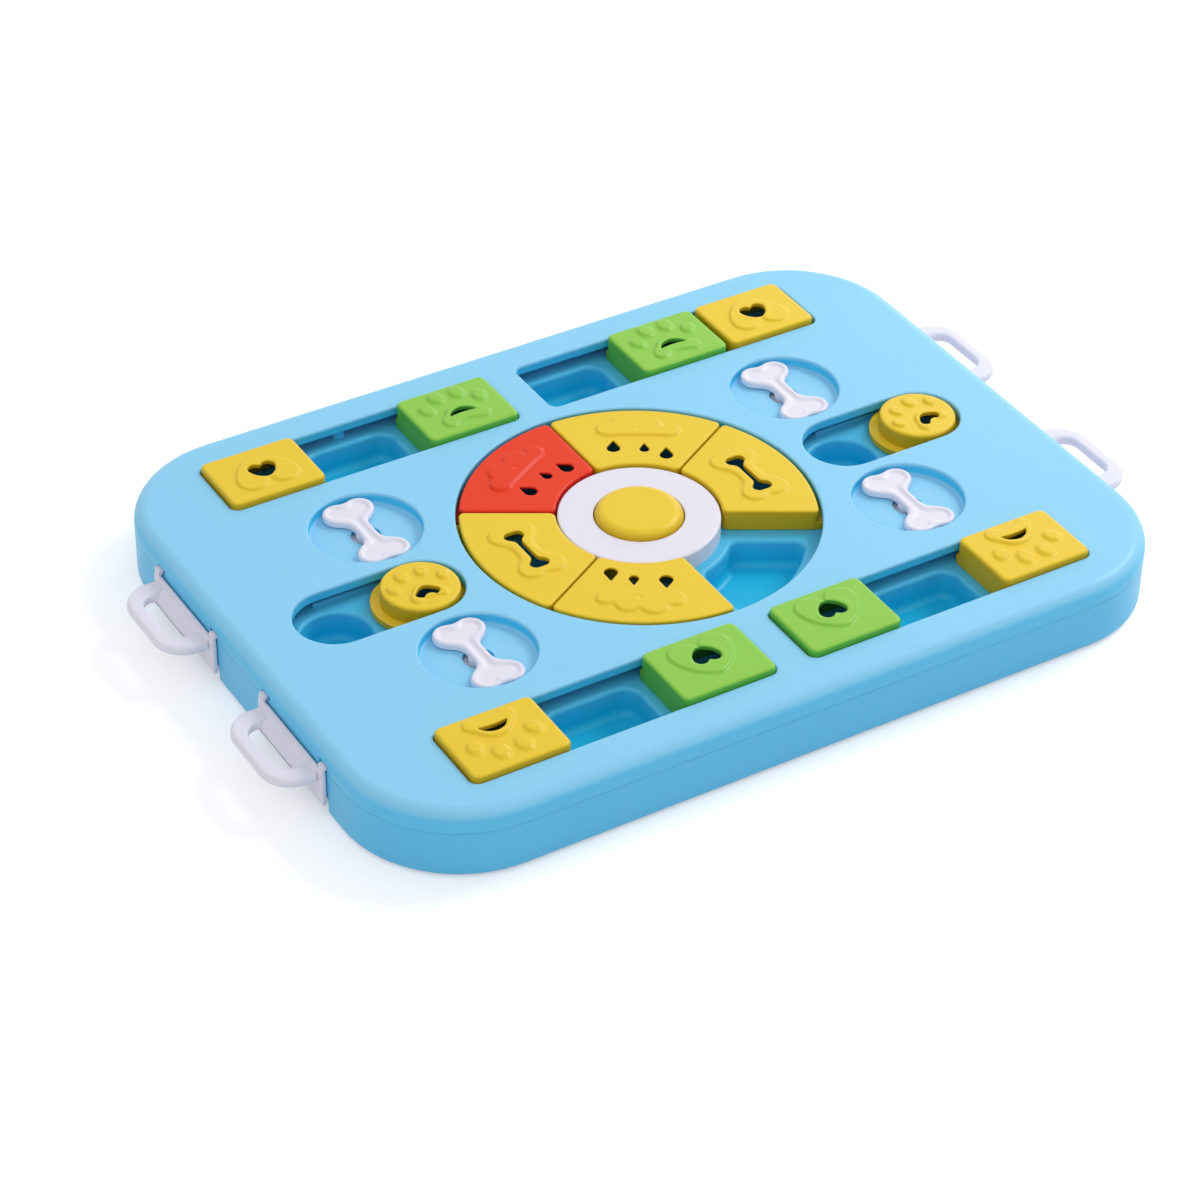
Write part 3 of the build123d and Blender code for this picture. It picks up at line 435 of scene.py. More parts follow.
def moulded_cover(outline, hole, raised, reach, top, under, wall, foot, bead=bead):
    """Points and quads of a hollow cover with a rounded top edge, a lipped cut-out and a foot.

    outline, hole and raised are functions of x and y. The rounding of the top edge is as large
    as the wall is thick. foot gives the foot's way out from a point of the outline. bead is the
    height of a low bead round the cut-out.
    """
    def inside(x, y):
        return np.maximum(outline(x, y) + wall, lip - hole(x, y))

    face = grid_inside(inside, reach, grid_step)
    x, y, _, rim = face
    around = hole(x, y)
    low_bead = bead * np.exp(-(((around - bead_place) / bead_width) ** 2))
    height = top + relief * raised(x, y) + low_bead
    ceiling = top - top_plate
    on_hole = around[rim[:, 0]] < lip + on_edge

    def foot_ring(share, z):
        """The wall's outer face, moved out by a share of the foot."""
        def ring(ends):
            wall_x, wall_y = march(outline, x[ends], y[ends])
            out_x, out_y = foot(wall_x, wall_y)
            return wall_x + share * out_x, wall_y + share * out_y, z
        return ring

    def lip_height(turned, upper):
        """The cut-out's round edge: below the upper face, or above the ceiling."""
        fall = lip * (1 - cos(turned))
        return (lambda ends: height[ends] - fall) if upper else ceiling + fall

    foot_top = under + foot_height
    rings = rounded_edge(face, outline, top, wall)
    rings += [foot_ring(0, foot_top), foot_ring(slim_foot, foot_top)]
    rings += [foot_ring(1, foot_top - foot_bevel), foot_ring(1, under + foot_bevel)]
    rings += [foot_ring(slim_foot, under), ring_at(face, outline, -wall, under)]
    holes = [
        ring_at(face, hole, lip * (1 - sin(t)), lip_height(t, upper))
        for upper, turns in ((True, round_steps[1:]), (False, round_steps[:0:-1]))
        for t in turns
    ]
    edges = [(rim[~on_hole], rings), (rim[on_hole], holes)]
    return closed_shell(face, height, ceiling, edges)


def node_plan(name):
    """Middle in X and Y, underside and top of a frame piece, in millimetres."""
    low, high = (np.array(corner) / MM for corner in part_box(name))
    return (low[:2] + high[:2]) / 2, low[2], high[2]


# %% [markdown]
# ## Sliding blocks
#
# Eight blocks in four tracks. A block carries either a heart with a heart-shaped cut-out that
# points the other way, or a paw whose pad has a slot. In the front row the figures are turned
# round and stand a little to the back.

# %% Blocks
block_size = (44.5, 35.0, 3.4)        # length, width, corner
block_wall = 1.6
block_foot = (0.0, 1.8)               # foot past the ends and past the sides
heart_size, heart_cut = (29.6, 25.4), (12.4, 10.6)
front_shift, heart_shift = 2.5, -0.2
back_cut_shift, front_cut_shift = -0.4, 1.2
block_toes = ((13.2, 3.9), (5.2, 10.6), 5.0)
block_pad, block_slot = (24.6, 16.0, -5.2), (13.0, 4.6, 3.9, -5.6)
outer_oval = (0.84, 1.04, radians(22))       # a toe's width and length to its size, and its tilt
inner_oval = (0.91, 1.16, radians(6))
toe_swell = 0.5                              # share of a toe's radius over which it rises


def toe_domes(x, y, outer, inner, size):
    """Four oval domes: each is a smooth step that rises inwards from an ellipse."""
    height = np.zeros_like(x)
    for (side, up), (across, along, tilt) in ((outer, outer_oval), (inner, inner_oval)):
        u, v = np.abs(x) - side, y - up
        across_toe = (u * cos(tilt) - v * sin(tilt)) / (size * across)
        along_toe = (u * sin(tilt) + v * cos(tilt)) / (size * along)
        height = np.maximum(height, rise(np.hypot(across_toe, along_toe) - 1, toe_swell))
    return height


def block_outline(x, y):
    """A rectangle with round corners."""
    return rounded_box(x, y, *block_size)


def block_foot_way(x, y):
    """The foot stretches the block's plan, more past the sides than past the ends."""
    return x * block_foot[0] / (block_size[0] / 2), y * block_foot[1] / (block_size[1] / 2)


def paw_block(shift):
    """Raised toes and pad, and the slot in the pad."""
    width, height, pad_y = block_pad
    length, bow, wide, slot_y = block_slot

    def raised(x, y):
        pad = flat_share * rise(paw_pad(x, y - shift - pad_y, width, height))
        return np.maximum(pad, toe_domes(x, y - shift, *block_toes))

    def hole(x, y):
        return crescent(x, y - shift - slot_y, length, bow, wide)
    return hole, raised


def heart_block(tip, shift, hole_shift):
    """A raised heart, and a small heart cut through it that points the other way."""
    def raised(x, y):
        return flat_share * rise(heart(x, y - shift, *heart_size, tip))

    def hole(x, y):
        return heart(x, y - shift - hole_shift, *heart_cut, -tip)
    return hole, raised


block_kinds = {
    "back_heart": (*heart_block(1, heart_shift, back_cut_shift), 0.0),
    "back_paw": (*paw_block(0.0), 0.0),
    "front_heart": (*heart_block(-1, front_shift + heart_shift, front_cut_shift), 0.0),
    "front_paw": (*paw_block(-front_shift), pi),
}
block_reach = tuple((-size / 2, size / 2) for size in block_size[:2])
for kind, (hole, raised, angle) in block_kinds.items():
    names = [name for name in nodes if name.startswith("block") and name.endswith(kind)]
    _, under, highest = node_plan(names[0])
    shape = moulded_cover(
        block_outline, hole, raised, block_reach, highest - relief, under,
        block_wall, block_foot_way,
    )
    for name in names:
        new_piece(name, *shape, node_plan(name)[0], angle)
    print(kind, "blocks:", names, "with", len(shape[1]), "quads each")

# %% [markdown]
# ## Round pucks
#
# A puck is a round block with a small paw. Its foot is a wide disc that lies on the deck.

# %% Pucks
puck_radius, puck_foot = 17.0, 4.0
puck_toes = ((11.6, 1.8), (4.6, 8.0), 3.9)
puck_pad, puck_cut = (18.2, 13.0, -5.6), (11.0, 6.4, -5.2)
puck_turns = {"puck_left": 0.0, "puck_right": radians(20)}


def puck_outline(x, y):
    """A circle."""
    return disc(x, y, (0, 0), puck_radius)


def puck_foot_way(x, y):
    """The puck's foot is as wide all round."""
    return x * puck_foot / puck_radius, y * puck_foot / puck_radius


def puck_hole(x, y):
    """A small pad, cut through the raised one."""
    return paw_pad(x, y - puck_cut[2], *puck_cut[:2])


def puck_raised(x, y):
    """The higher of the pad and the toes."""
    pad = flat_share * rise(paw_pad(x, y - puck_pad[2], *puck_pad[:2]))
    return np.maximum(pad, toe_domes(x, y, *puck_toes))


_, under, highest = node_plan("puck_left")
puck_shape = moulded_cover(
    puck_outline, puck_hole, puck_raised, ((-puck_radius, puck_radius),) * 2, highest - relief,
    under, block_wall, puck_foot_way,
)
for name, angle in puck_turns.items():
    new_piece(name, *puck_shape, node_plan(name)[0], angle)
print("pucks:", list(puck_turns), "with", len(puck_shape[1]), "quads each")

# %% [markdown]
# ## Turning wedges
#
# Five 60 degree wedges turn round the hub in a well that has room for six. Two carry a bone with
# a bone-shaped cut-out; three carry a cloud, and its rain is three cut-out drops.

# %% Wedges
wedge_size = (35.7, 77.0, 0.35, 2.6)        # inner and outer radius, side gap, corner
wedge_wall, wedge_foot, foot_fade = 1.2, 3.5, 0.6
wedge_angles = {
    "wedge_right": 0, "wedge_top": 60, "wedge_red": 120, "wedge_left": 180, "wedge_bottom": 240
}
bone_wedges = ("wedge_right", "wedge_left")
figure_radius = 55.5
wedge_bone, wedge_bone_cut = (38.5, 6.2, 5.0, 11.5), (27.0, 2.7, 1.7, 2.6)
cloud_base = 56.0
cloud_ends = ((-13.0, 5.2), (15.6, 4.8))
cloud_tops = ((-4.6, 9.0, 7.0), (6.4, 8.4, 6.2))
drops = ((-10.0, 47.6, 2.9, 8.5), (3.5, 47.0, 2.1, 6.3), (13.0, 42.6, 2.9, 8.5))


def wedge_outline(x, y):
    """A ring sector that leaves a gap to its neighbours."""
    return sector(x, y, *wedge_size)


def wedge_foot_way(x, y):
    """The foot goes straight out from the hub, on the outer side only."""
    radius = np.hypot(x, y)
    share = wedge_foot / radius * rise(wedge_size[1] - wedge_size[3] / 2 - radius, foot_fade)
    return x * share, y * share


def bone_hole(x, y):
    """A thin bone across the wedge."""
    return bone(y - figure_radius, x, *wedge_bone_cut)


def bone_raised(x, y):
    """A thicker bone round it."""
    return flat_share * rise(bone(y - figure_radius, x, *wedge_bone))


def drops_hole(x, y):
    """The nearest of the three drops."""
    return np.min([drop(x - u, y - v, radius, tall) for u, v, radius, tall in drops], axis=0)


def cloud_raised(x, y):
    """The cloud, with its flat base towards the hub."""
    return flat_share * rise(cloud(x, y - cloud_base, cloud_ends, cloud_tops))


_, under, highest = node_plan("wedge_top")
wedge_inner, wedge_outer = wedge_size[:2]
wedge_reach = (
    (-wedge_outer / 2, wedge_outer / 2), (wedge_inner * cos(half_sector), wedge_outer)
)
wedge_shapes = [
    moulded_cover(
        wedge_outline, hole, raised, wedge_reach, highest - relief, under,
        wedge_wall, wedge_foot_way, bead=0,
    )
    for hole, raised in ((bone_hole, bone_raised), (drops_hole, cloud_raised))
]
for name, angle in wedge_angles.items():
    shape = wedge_shapes[0 if name in bone_wedges else 1]
    new_piece(name, *shape, angle=radians(angle - 90))
    print(name, "with", len(shape[1]), "quads")

# %% [markdown]
# ## Spinning bones
#
# Each white bone is a solid plate with a rounded rim and a dished middle. It turns on a hub that
# goes down through the dish in the cover, so a short round shaft belongs to the same piece.

# %% Bones
bone_rim = 1.5                          # width of the raised rim
bone_dish, dish_slope = 0.9, 1.8        # depth, and the width over which it deepens
bone_inset = 1.2
bone_figure_size = (45.4, 6.5, 5.2, 7.4)
bone_half_width = 12
bone_plate = 3.2                        # thickness
hub_radius, hub_edge, hub_overlap = 4.3, 0.5, 1.0
fine_step = grid_step * 0.75


def bone_outline(x, y):
    """A bone along Y."""
    return bone(x, y, *bone_figure_size)


def plate(outline, reach, top, lowest, edge, sunk=lambda x, y: 0):
    """A solid plate inside an outline, with its upper edge rounded and its top sunk in."""
    face = grid_inside(lambda x, y: outline(x, y) + edge, reach, fine_step)
    x, y, _, rim = face
    rings = rounded_edge(face, outline, top, edge)
    rings += [ring_at(face, outline, 0, lowest + foot_bevel)]
    rings += [ring_at(face, outline, -foot_bevel, lowest)]
    return closed_shell(face, top - sunk(x, y), lowest, [(rim, rings)])


def bone_sunk(x, y):
    """The dish starts inside the raised rim and deepens in a smooth step."""
    return bone_dish * rise(bone_outline(x, y) + bone_rim, dish_slope)


def hub_outline(x, y):
    """A circle."""
    return disc(x, y, (0, 0), hub_radius)


def joined(shells):
    """Several shells as one mesh."""
    points = [shell[0] for shell in shells]
    starts = np.cumsum([0] + [len(part) for part in points[:-1]])
    quads = [shell[1] + start for shell, start in zip(shells, starts)]
    return np.concatenate(points), np.concatenate(quads)


bone_names = [name for name in nodes if name.startswith("bone_")]
_, bone_under, bone_top = node_plan(bone_names[0])
plate_under = bone_top - bone_plate
bone_half = bone_figure_size[0] / 2
bone_reach = ((-bone_half_width, bone_half_width), (-bone_half, bone_half))
hub_reach = ((-hub_radius, hub_radius),) * 2
bone_shape = joined([
    plate(bone_outline, bone_reach, bone_top, plate_under, bone_inset, bone_sunk),
    plate(hub_outline, hub_reach, plate_under + hub_overlap, bone_under, hub_edge),
])
for name in bone_names:
    new_piece(name, *bone_shape, node_plan(name)[0])
print("bones:", bone_names, "with", len(bone_shape[1]), "quads each")

# %% [markdown]
# ## Side latches
#
# A latch is a plate along the tray's side, with a barrel round its pin below, two ears that hook
# over the cover, and a round-edged loop to pull. Its lengths are given outwards from the side
# and along it. The plate and the barrel are one profile drawn across the side and laid down.

# %% Latches
latch_air, latch_plate, latch_width = 0.35, 1.9, 55.6
latch_low, latch_high = 5.9, 22.4                 # of the plate
latch_corner, latch_edge, latch_blend = 0.6, 0.4, 0.4
barrel_place, barrel_radius = (-2.4, 7.8), 2.0
bridge_size, bridge_corner = (4.6, 2.0), 0.3      # joins the plate and the barrel
bridge_place, bridge_rise = -0.1, 1.0             # from the side, and from the barrel's middle
loop_out, loop_width, loop_corner = 21.4, 50.0, 14.0
loop_low, loop_high, loop_edge = 16.3, 20.9, 2.2
loop_inset, inset_corner = 0.2, 0.1               # how far the loop goes into the plate
slot_reach, slot_width, slot_corner, slot_edge = (8.0, 15.0), 31.0, 6.0, 1.35
slot_near_corner = 1.2
loop_spare, slot_spare = 4, 6                     # straight part of the box each is cut from
web_slope, web_width = 0.5, 48.0                  # the web falls from the plate to the slot
web_over, web_in = 0.05, 0.3                      # over the plate's edge, and into the loop
web_plate_corner, web_slot_corner = 0.4, 0.8
dip, dip_size, dip_fade = 2.3, (24, slot_width + 4, 3), 3.0     # where the loop is lower
ear_size, ear_reach, ear_top, ear_low = (1.5, 4.2), 27.8, 25.1, 19.0
ear_inset, ear_corner, ear_edge = 0.1, 0.5, 0.45
hook_reach, hook_low, hook_past = 1.0, 23.3, 0.08
latch_reach = ((-4.8, 2.4), (5.6, 22.6))          # round the plate and the barrel, (x, z)
web_reach = ((0, 8.2), (16.4, 22.6))


def latch_profile(x, z):
    """The plate, the bridge under it and the barrel, across the tray's side."""
    middle, tall = (latch_low + latch_high) / 2, latch_high - latch_low
    from_plate = x - latch_air - latch_plate / 2
    upright = rounded_box(from_plate, z - middle, latch_plate, tall, latch_corner)
    above_barrel = z - barrel_place[1] - bridge_rise
    bridge = rounded_box(x - bridge_place, above_barrel, *bridge_size, bridge_corner)
    barrel = disc(x, z, barrel_place, barrel_radius)
    return soft_union(upright, soft_union(bridge, barrel, latch_blend), latch_blend)


def web_profile(x, z):
    """A wedge whose sloped top runs from the plate's upper edge down to the slot."""
    long = (1 + web_slope**2) ** 0.5
    slope = (z - latch_high - web_over + web_slope * (x - latch_air)) / long
    upper = rounded_common(slope, latch_air - x, web_plate_corner)
    lower = rounded_common(x - slot_reach[0], loop_low + web_in - z, web_slot_corner)
    return rounded_common(upper, lower, web_slot_corner)


def loop_outline(x, y):
    """A box with round outer corners, cut straight inside the plate."""
    length = 2 * loop_corner + loop_spare
    outer = rounded_box(x - loop_out + length / 2, y, length, loop_width, loop_corner)
    return rounded_common(outer, latch_air + loop_inset - x, inset_corner)


def loop_slot(x, y):
    """The slot is straight towards the plate and round outwards."""
    near, far = slot_reach
    length = 2 * slot_corner + slot_spare
    outer = rounded_box(x - far + length / 2, y, length, slot_width, slot_corner)
    return rounded_common(outer, near - x, slot_near_corner)


def loop_top(x, y):
    """The loop is level, and lower beside the slot's inner side, where the web is."""
    return loop_high - dip * rise(rounded_box(x, y, *dip_size), dip_fade)


def loop_shell():
    """Closed shell of the loop, with rounded edges above and below, outside and in the slot."""
    def inside(x, y):
        return np.maximum(loop_outline(x, y) + loop_edge, slot_edge - loop_slot(x, y))

    face = grid_inside(inside, ((0, loop_out), (-loop_width / 2, loop_width / 2)), grid_step)
    x, y, _, rim = face
    top = loop_top(x, y)
    on_slot = loop_slot(x, y)[rim[:, 0]] < slot_edge + on_edge

    def rings(outline, sign, edge):
        """Over the upper edge, then back under the lower one."""
        fall = edge * (1 - np.cos(round_steps[1:]))
        level = sign * edge * (np.sin(round_steps[1:]) - 1)
        over = [
            ring_at(face, outline, at, lambda ends, down=down: top[ends] - down)
            for at, down in zip(level, fall)
        ]
        back = [ring_at(face, outline, at, loop_low + up) for at, up in zip(level, fall)]
        return over + back[::-1]

    edges = [
        (rim[~on_slot], rings(loop_outline, 1, loop_edge)),
        (rim[on_slot], rings(loop_slot, -1, slot_edge)),
    ]
    return closed_shell(face, top, loop_low, edges)


def ear_shell(y_middle, inner, low, past=0.0):
    """A small rounded plate from inner to the ear's outer face, from low to the ear's top."""
    outer, width = latch_air + ear_size[0] + past, ear_size[1] + 2 * past

    def outline(x, y):
        from_middle = x - (inner + outer) / 2
        return rounded_box(from_middle, y - y_middle, outer - inner, width, ear_corner)

    reach = ((inner, outer), (y_middle - width / 2, y_middle + width / 2))
    return plate(outline, reach, ear_top + 2 * past, low, ear_edge)


def along_side(profile, reach, width):
    """A profile across the side, (x, z), drawn width wide along the side."""
    points, quads = plate(profile, reach, width / 2, -width / 2, latch_edge)
    return np.stack([points[:, 0], -points[:, 2], points[:, 1]], 1), quads


ear_middle = ear_reach - ear_size[1] / 2 - ear_inset
latch_shape = joined([
    along_side(latch_profile, latch_reach, latch_width),
    along_side(web_profile, web_reach, web_width),
    loop_shell(),
] + [
    ear_shell(side * ear_middle, inner, low, past)
    for side in (-1, 1)
    for inner, low, past in ((latch_air, ear_low, 0), (-hook_reach, hook_low, hook_past))
])
side_x = node_plan("tray")[0][0] + (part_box("tray")[1].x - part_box("tray")[0].x) / 2 / MM
latch_names = [name for name in nodes if name.startswith("latch_") and name != "latch_pins"]
for name in latch_names:
    middle = node_plan(name)[0]
    side = 1 if middle[0] > 0 else -1
    place = (side * side_x, middle[1])
    new_piece(name, *latch_shape, place, (1 - side) * pi / 2)
print("latches:", latch_names, "with", len(latch_shape[1]), "quads each, side at", side_x)

# %% [markdown]
# ## The squeaker's bulb
#
# Under the button stands a hollow rubber bulb, open below around its reed. The button moves as
# a rigid piece; the bulb is made at rest, with a mesh of its own.

# %% Bulb
bulb_wall, bulb_round, bulb_bevel = 1.4, 5.0, 0.3
reed_air = 0.3           # between the reed and the bulb's foot
bulb_plan, bulb_low, bulb_high = node_plan("squeaker_bulb")
bulb_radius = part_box("squeaker_bulb")[1].x / MM - bulb_plan[0]
reed_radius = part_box("squeaker_reed")[1].x / MM - bulb_plan[0]


def bulb_outline(x, y):
    """A circle."""
    return disc(x, y, (0, 0), bulb_radius)


def bulb_shell():
    """Over the outer shoulder, down, in to the bore, back out and up to the inner shoulder."""
    reach = ((-bulb_radius, bulb_radius),) * 2
    face = grid_inside(lambda x, y: bulb_outline(x, y) + bulb_round, reach, grid_step)
    bore = reed_radius + reed_air - bulb_radius
    foot_top = bulb_low + bulb_wall
    inner_round = bulb_round - bulb_wall
    way = [(0, bulb_low + bulb_bevel), (-bulb_bevel, bulb_low), (bore, bulb_low)]
    way += [(bore, foot_top), (-bulb_wall, foot_top)]
    way += [
        (inner_round * (sin(t) - 1) - bulb_wall, bulb_high - bulb_wall - inner_round * (1 - cos(t)))
        for t in round_steps[:0:-1]
    ]
    rings = rounded_edge(face, bulb_outline, bulb_high, bulb_round)
    rings += [ring_at(face, bulb_outline, level, z) for level, z in way]
    return closed_shell(face, bulb_high, bulb_high - bulb_wall, [(face[3], rings)])


bulb_shape = bulb_shell()
bulb = new_piece("squeaker_bulb", *bulb_shape, bulb_plan)
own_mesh(bulb)

# %% [markdown]
# ## Plastic finishes
#
# Moulded plastic has three scales of detail: a broad, faint unevenness of colour, a fine orange
# peel from the mould, and hairline scratches. All three are worked out in one node group, so
# each plastic only chooses how strong they are. A coloured plastic also gets painted shade: light
# that goes into bright plastic comes back deeper in colour where it bounces between walls, and
# this is painted as a deeper colour on its walls or its lower parts.

# %% Node helpers
def set_inputs(tree, node, inputs):
    """A node's inputs by name: another node's output is linked, a plain value is set."""
    for name, value in inputs.items():
        if isinstance(value, bpy.types.NodeSocket):
            tree.links.new(value, node.inputs[name])
        else:
            node.inputs[name].default_value = value


def add_node(tree, kind, x, y, inputs=(), **settings):
    """A node at (x, y) with its settings and its inputs by name."""
    node = tree.nodes.new(kind)
    node.location = (x, y)
    for name, value in settings.items():
        setattr(node, name, value)
    set_inputs(tree, node, dict(inputs))
    return node


def math_node(tree, operation, x, y, *parts):
    """What a Math node makes of its parts, which are numbers or outputs of other nodes."""
    node = add_node(tree, "ShaderNodeMath", x, y, enumerate(parts), operation=operation)
    return node.outputs[0]


def noise_node(tree, vector, x, y, scale, detail):
    """Soft noise about 0.5, with scale cells to a unit of the vector."""
    inputs = {"Vector": vector, "Scale": scale, "Detail": detail}
    return add_node(tree, "ShaderNodeTexNoise", x, y, inputs).outputs["Fac"]


def group_with(name, inputs, outputs):
    """An empty node group with the named inputs {name: (type, default)} and outputs."""
    tree = bpy.data.node_groups.new(name, "ShaderNodeTree")
    for title, (kind, default) in inputs.items():
        socket = tree.interface.new_socket(title, in_out="INPUT", socket_type=kind)
        if default is not None:
            socket.default_value = default
    for title, kind in outputs.items():
        tree.interface.new_socket(title, in_out="OUTPUT", socket_type=kind)
    return tree


# %% Moulded surface group
broad_scale, patch_scale, peel_scale = 22.0, 60.0, 900.0        # noise cells in a metre
hair_angles, hair_stretch = (radians(25), radians(-50)), (60.0, 2600.0, 600.0)
hair_peak = (0.66, 0.76)                 # where a hairline begins, and where it is full
gloss_change = (0.88, 1.14)              # of the roughness, from patch to patch


def make_moulded_surface():
    """Colour that wanders a little, a roughness mask and the height of peel and scratches."""
    tree = group_with(
        "moulded_surface",
        {
            "Color": ("NodeSocketColor", (0.5, 0.5, 0.5, 1)),
            "Shade": ("NodeSocketColor", (0.4, 0.4, 0.4, 1)),
            "Unevenness": ("NodeSocketFloat", 0.3),
            "Roughness": ("NodeSocketFloat", 0.3),
            "Scratches": ("NodeSocketFloat", 0.1),
        },
        {"Color": "NodeSocketColor", "Roughness": "NodeSocketFloat", "Height": "NodeSocketFloat"},
    )
    given = add_node(tree, "NodeGroupInput", -900, 0).outputs
    place = add_node(tree, "ShaderNodeTexCoord", -900, -300).outputs["Object"]

    broad = noise_node(tree, place, -600, 200, broad_scale, 3.0)
    amount = math_node(tree, "MULTIPLY", -380, 260, broad, given["Unevenness"])
    shades = {"Factor": amount, "A": given["Color"], "B": given["Shade"]}
    tint = add_node(tree, "ShaderNodeMix", -120, 300, shades, data_type="RGBA")

    # hairlines: noise stretched along two directions, kept where it peaks
    lines = []
    for angle, y in zip(hair_angles, (-200, -480)):
        along = {"Vector": place, "Rotation": (0, 0, angle), "Scale": hair_stretch}
        stretch = add_node(tree, "ShaderNodeMapping", -650, y, along)
        hairs = noise_node(tree, stretch.outputs["Vector"], -430, y, 1.0, 1.0)
        peak = {"Value": hairs, "From Min": hair_peak[0], "From Max": hair_peak[1]}
        lines.append(add_node(tree, "ShaderNodeMapRange", -220, y, peak).outputs[0])
    both = math_node(tree, "MAXIMUM", 0, -300, *lines)
    worn = math_node(tree, "MULTIPLY", 170, -300, both, given["Scratches"])

    patches = noise_node(tree, place, -430, 0, patch_scale, 4.0)
    change = {"Value": patches, "To Min": gloss_change[0], "To Max": gloss_change[1]}
    spread = add_node(tree, "ShaderNodeMapRange", -220, 0, change).outputs[0]
    gloss = math_node(tree, "MULTIPLY_ADD", 170, 0, given["Roughness"], spread, worn)

    peel = noise_node(tree, place, -430, -760, peel_scale, 2.0)
    height = math_node(tree, "SUBTRACT", 380, -400, peel, worn)
    made = {"Color": tint.outputs["Result"], "Roughness": gloss, "Height": height}
    add_node(tree, "NodeGroupOutput", 700, 0, made)
    return tree


moulded_surface = make_moulded_surface()
print("node group:", moulded_surface.name)


# %% Painted shade group
level_faces = (0.35, 0.95)      # how much a normal's Z counts as lying flat: not yet, and fully


def make_deep_tone():
    """Painted shade: a colour that turns into a deeper one below a height, inside a middle part of
    the plan.

    The share of the deeper colour is how far z is below High, over High - Low. It counts only
    where |x| and |y| are under Inside X and Inside Y. With Walls at 1 it counts on upright
    faces alone, and less on a face the more it looks up or down.
    """
    tree = group_with(
        "deep_tone",
        {
            "Color": ("NodeSocketColor", (0.5, 0.5, 0.5, 1)),
            "Painted Shade": ("NodeSocketColor", (0.4, 0.4, 0.4, 1)),
            "Low": ("NodeSocketFloat", 0.0),
            "High": ("NodeSocketFloat", 0.02),
            "Inside X": ("NodeSocketFloat", 1.0),
            "Inside Y": ("NodeSocketFloat", 1.0),
            "Walls": ("NodeSocketFloat", 0.0),
        },
        {"Color": "NodeSocketColor"},
    )
    given = add_node(tree, "NodeGroupInput", -900, 0).outputs
    place = add_node(tree, "ShaderNodeTexCoord", -900, -300).outputs["Object"]
    split = add_node(tree, "ShaderNodeSeparateXYZ", -720, -300, {0: place}).outputs
    fall = {"Value": split["Z"], "From Min": given["Low"], "From Max": given["High"]}
    fall |= {"To Min": 1.0, "To Max": 0.0}
    smooth = {"interpolation_type": "SMOOTHSTEP"}
    share = add_node(tree, "ShaderNodeMapRange", -450, -100, fall, **smooth).outputs[0]
    for axis, y in (("X", -350), ("Y", -550)):
        size = math_node(tree, "ABSOLUTE", -520, y, split[axis])
        within = math_node(tree, "LESS_THAN", -350, y, size, given[f"Inside {axis}"])
        share = math_node(tree, "MULTIPLY", -150, y, share, within)

    facing = add_node(tree, "ShaderNodeNewGeometry", -900, -760).outputs["Normal"]
    turned = add_node(tree, "ShaderNodeSeparateXYZ", -720, -760, {0: facing}).outputs["Z"]
    level = math_node(tree, "ABSOLUTE", -520, -760, turned)
    lying = {"Value": level, "From Min": level_faces[0], "From Max": level_faces[1]}
    flat = add_node(tree, "ShaderNodeMapRange", -350, -760, lying, **smooth).outputs[0]
    off = math_node(tree, "MULTIPLY", -150, -760, flat, given["Walls"])
    on = math_node(tree, "SUBTRACT", 20, -760, 1.0, off)
    kept = math_node(tree, "MULTIPLY", 20, -350, share, on)
    # painted shade: the deeper colour is mixed in on walls and low parts, where shade falls
    shade_tones = {"Factor": kept, "A": given["Color"], "B": given["Painted Shade"]}
    mix = add_node(tree, "ShaderNodeMix", 200, 100, shade_tones, data_type="RGBA")
    add_node(tree, "NodeGroupOutput", 500, 0, {"Color": mix.outputs["Result"]})
    return tree


deep_tone = make_deep_tone()
print("node group:", deep_tone.name)


# %% A plastic from its colours
def srgb(red, green, blue):
    """Linear colour of an 8-bit screen colour."""
    parts = np.array([red, green, blue]) / 255.0
    linear = np.where(parts <= 0.04045, parts / 12.92, ((parts + 0.055) / 1.055) ** 2.4)
    return (*linear.tolist(), 1.0)


def plastic(name, color, shade, shade_tones=(), roughness=0.34, edge=0.4):
    """Moulded plastic: its colour, the shade that it wanders to, and its painted shade.

    Each painted shade tone is a deeper colour painted where shade falls: (colour, (low, high)
    height over which it goes in millimetres, the |x| and |y| up to which it counts, 1 for walls
    only). edge is the rounding of its corners in millimetres. Subsurface is the share of light
    that goes under the surface.
    """
    material = bpy.data.materials.new(name)
    material.use_nodes = True
    tree = material.node_tree
    look = {"Color": color, "Shade": shade, "Unevenness": 0.35}
    look |= {"Roughness": roughness, "Scratches": 0.08}
    surface = add_node(tree, "ShaderNodeGroup", -500, 200, look, node_tree=moulded_surface).outputs
    base = surface["Color"]
    # painted shade: each tone paints a deeper colour on walls or low parts
    for step, (deep, fall, inside, walls) in enumerate(shade_tones):
        look = {"Color": base, "Painted Shade": deep, "Low": fall[0] * MM, "High": fall[1] * MM}
        look |= {"Inside X": inside[0], "Inside Y": inside[1], "Walls": walls}
        y = 300 + 250 * step
        tone = add_node(tree, "ShaderNodeGroup", -250, y, look, node_tree=deep_tone)
        base = tone.outputs["Color"]
    edges = add_node(tree, "ShaderNodeBevel", -450, -250, {"Radius": edge * MM}, samples=6)
    peel = {"Strength": 0.12, "Distance": 0.05 * MM, "Height": surface["Height"]}
    peel |= {"Normal": edges.outputs["Normal"]}
    bump = add_node(tree, "ShaderNodeBump", -250, -100, peel)
    set_inputs(tree, tree.nodes["Principled BSDF"], {
        "Base Color": base,
        "Roughness": surface["Roughness"],
        "Normal": bump.outputs["Normal"],
        "IOR": 1.49,
        "Specular IOR Level": 0.24,
        "Subsurface Weight": 0.10,
        "Subsurface Radius": (1.0, 0.9, 0.8),
        "Subsurface Scale": 1.2 * MM,
    })
    return material


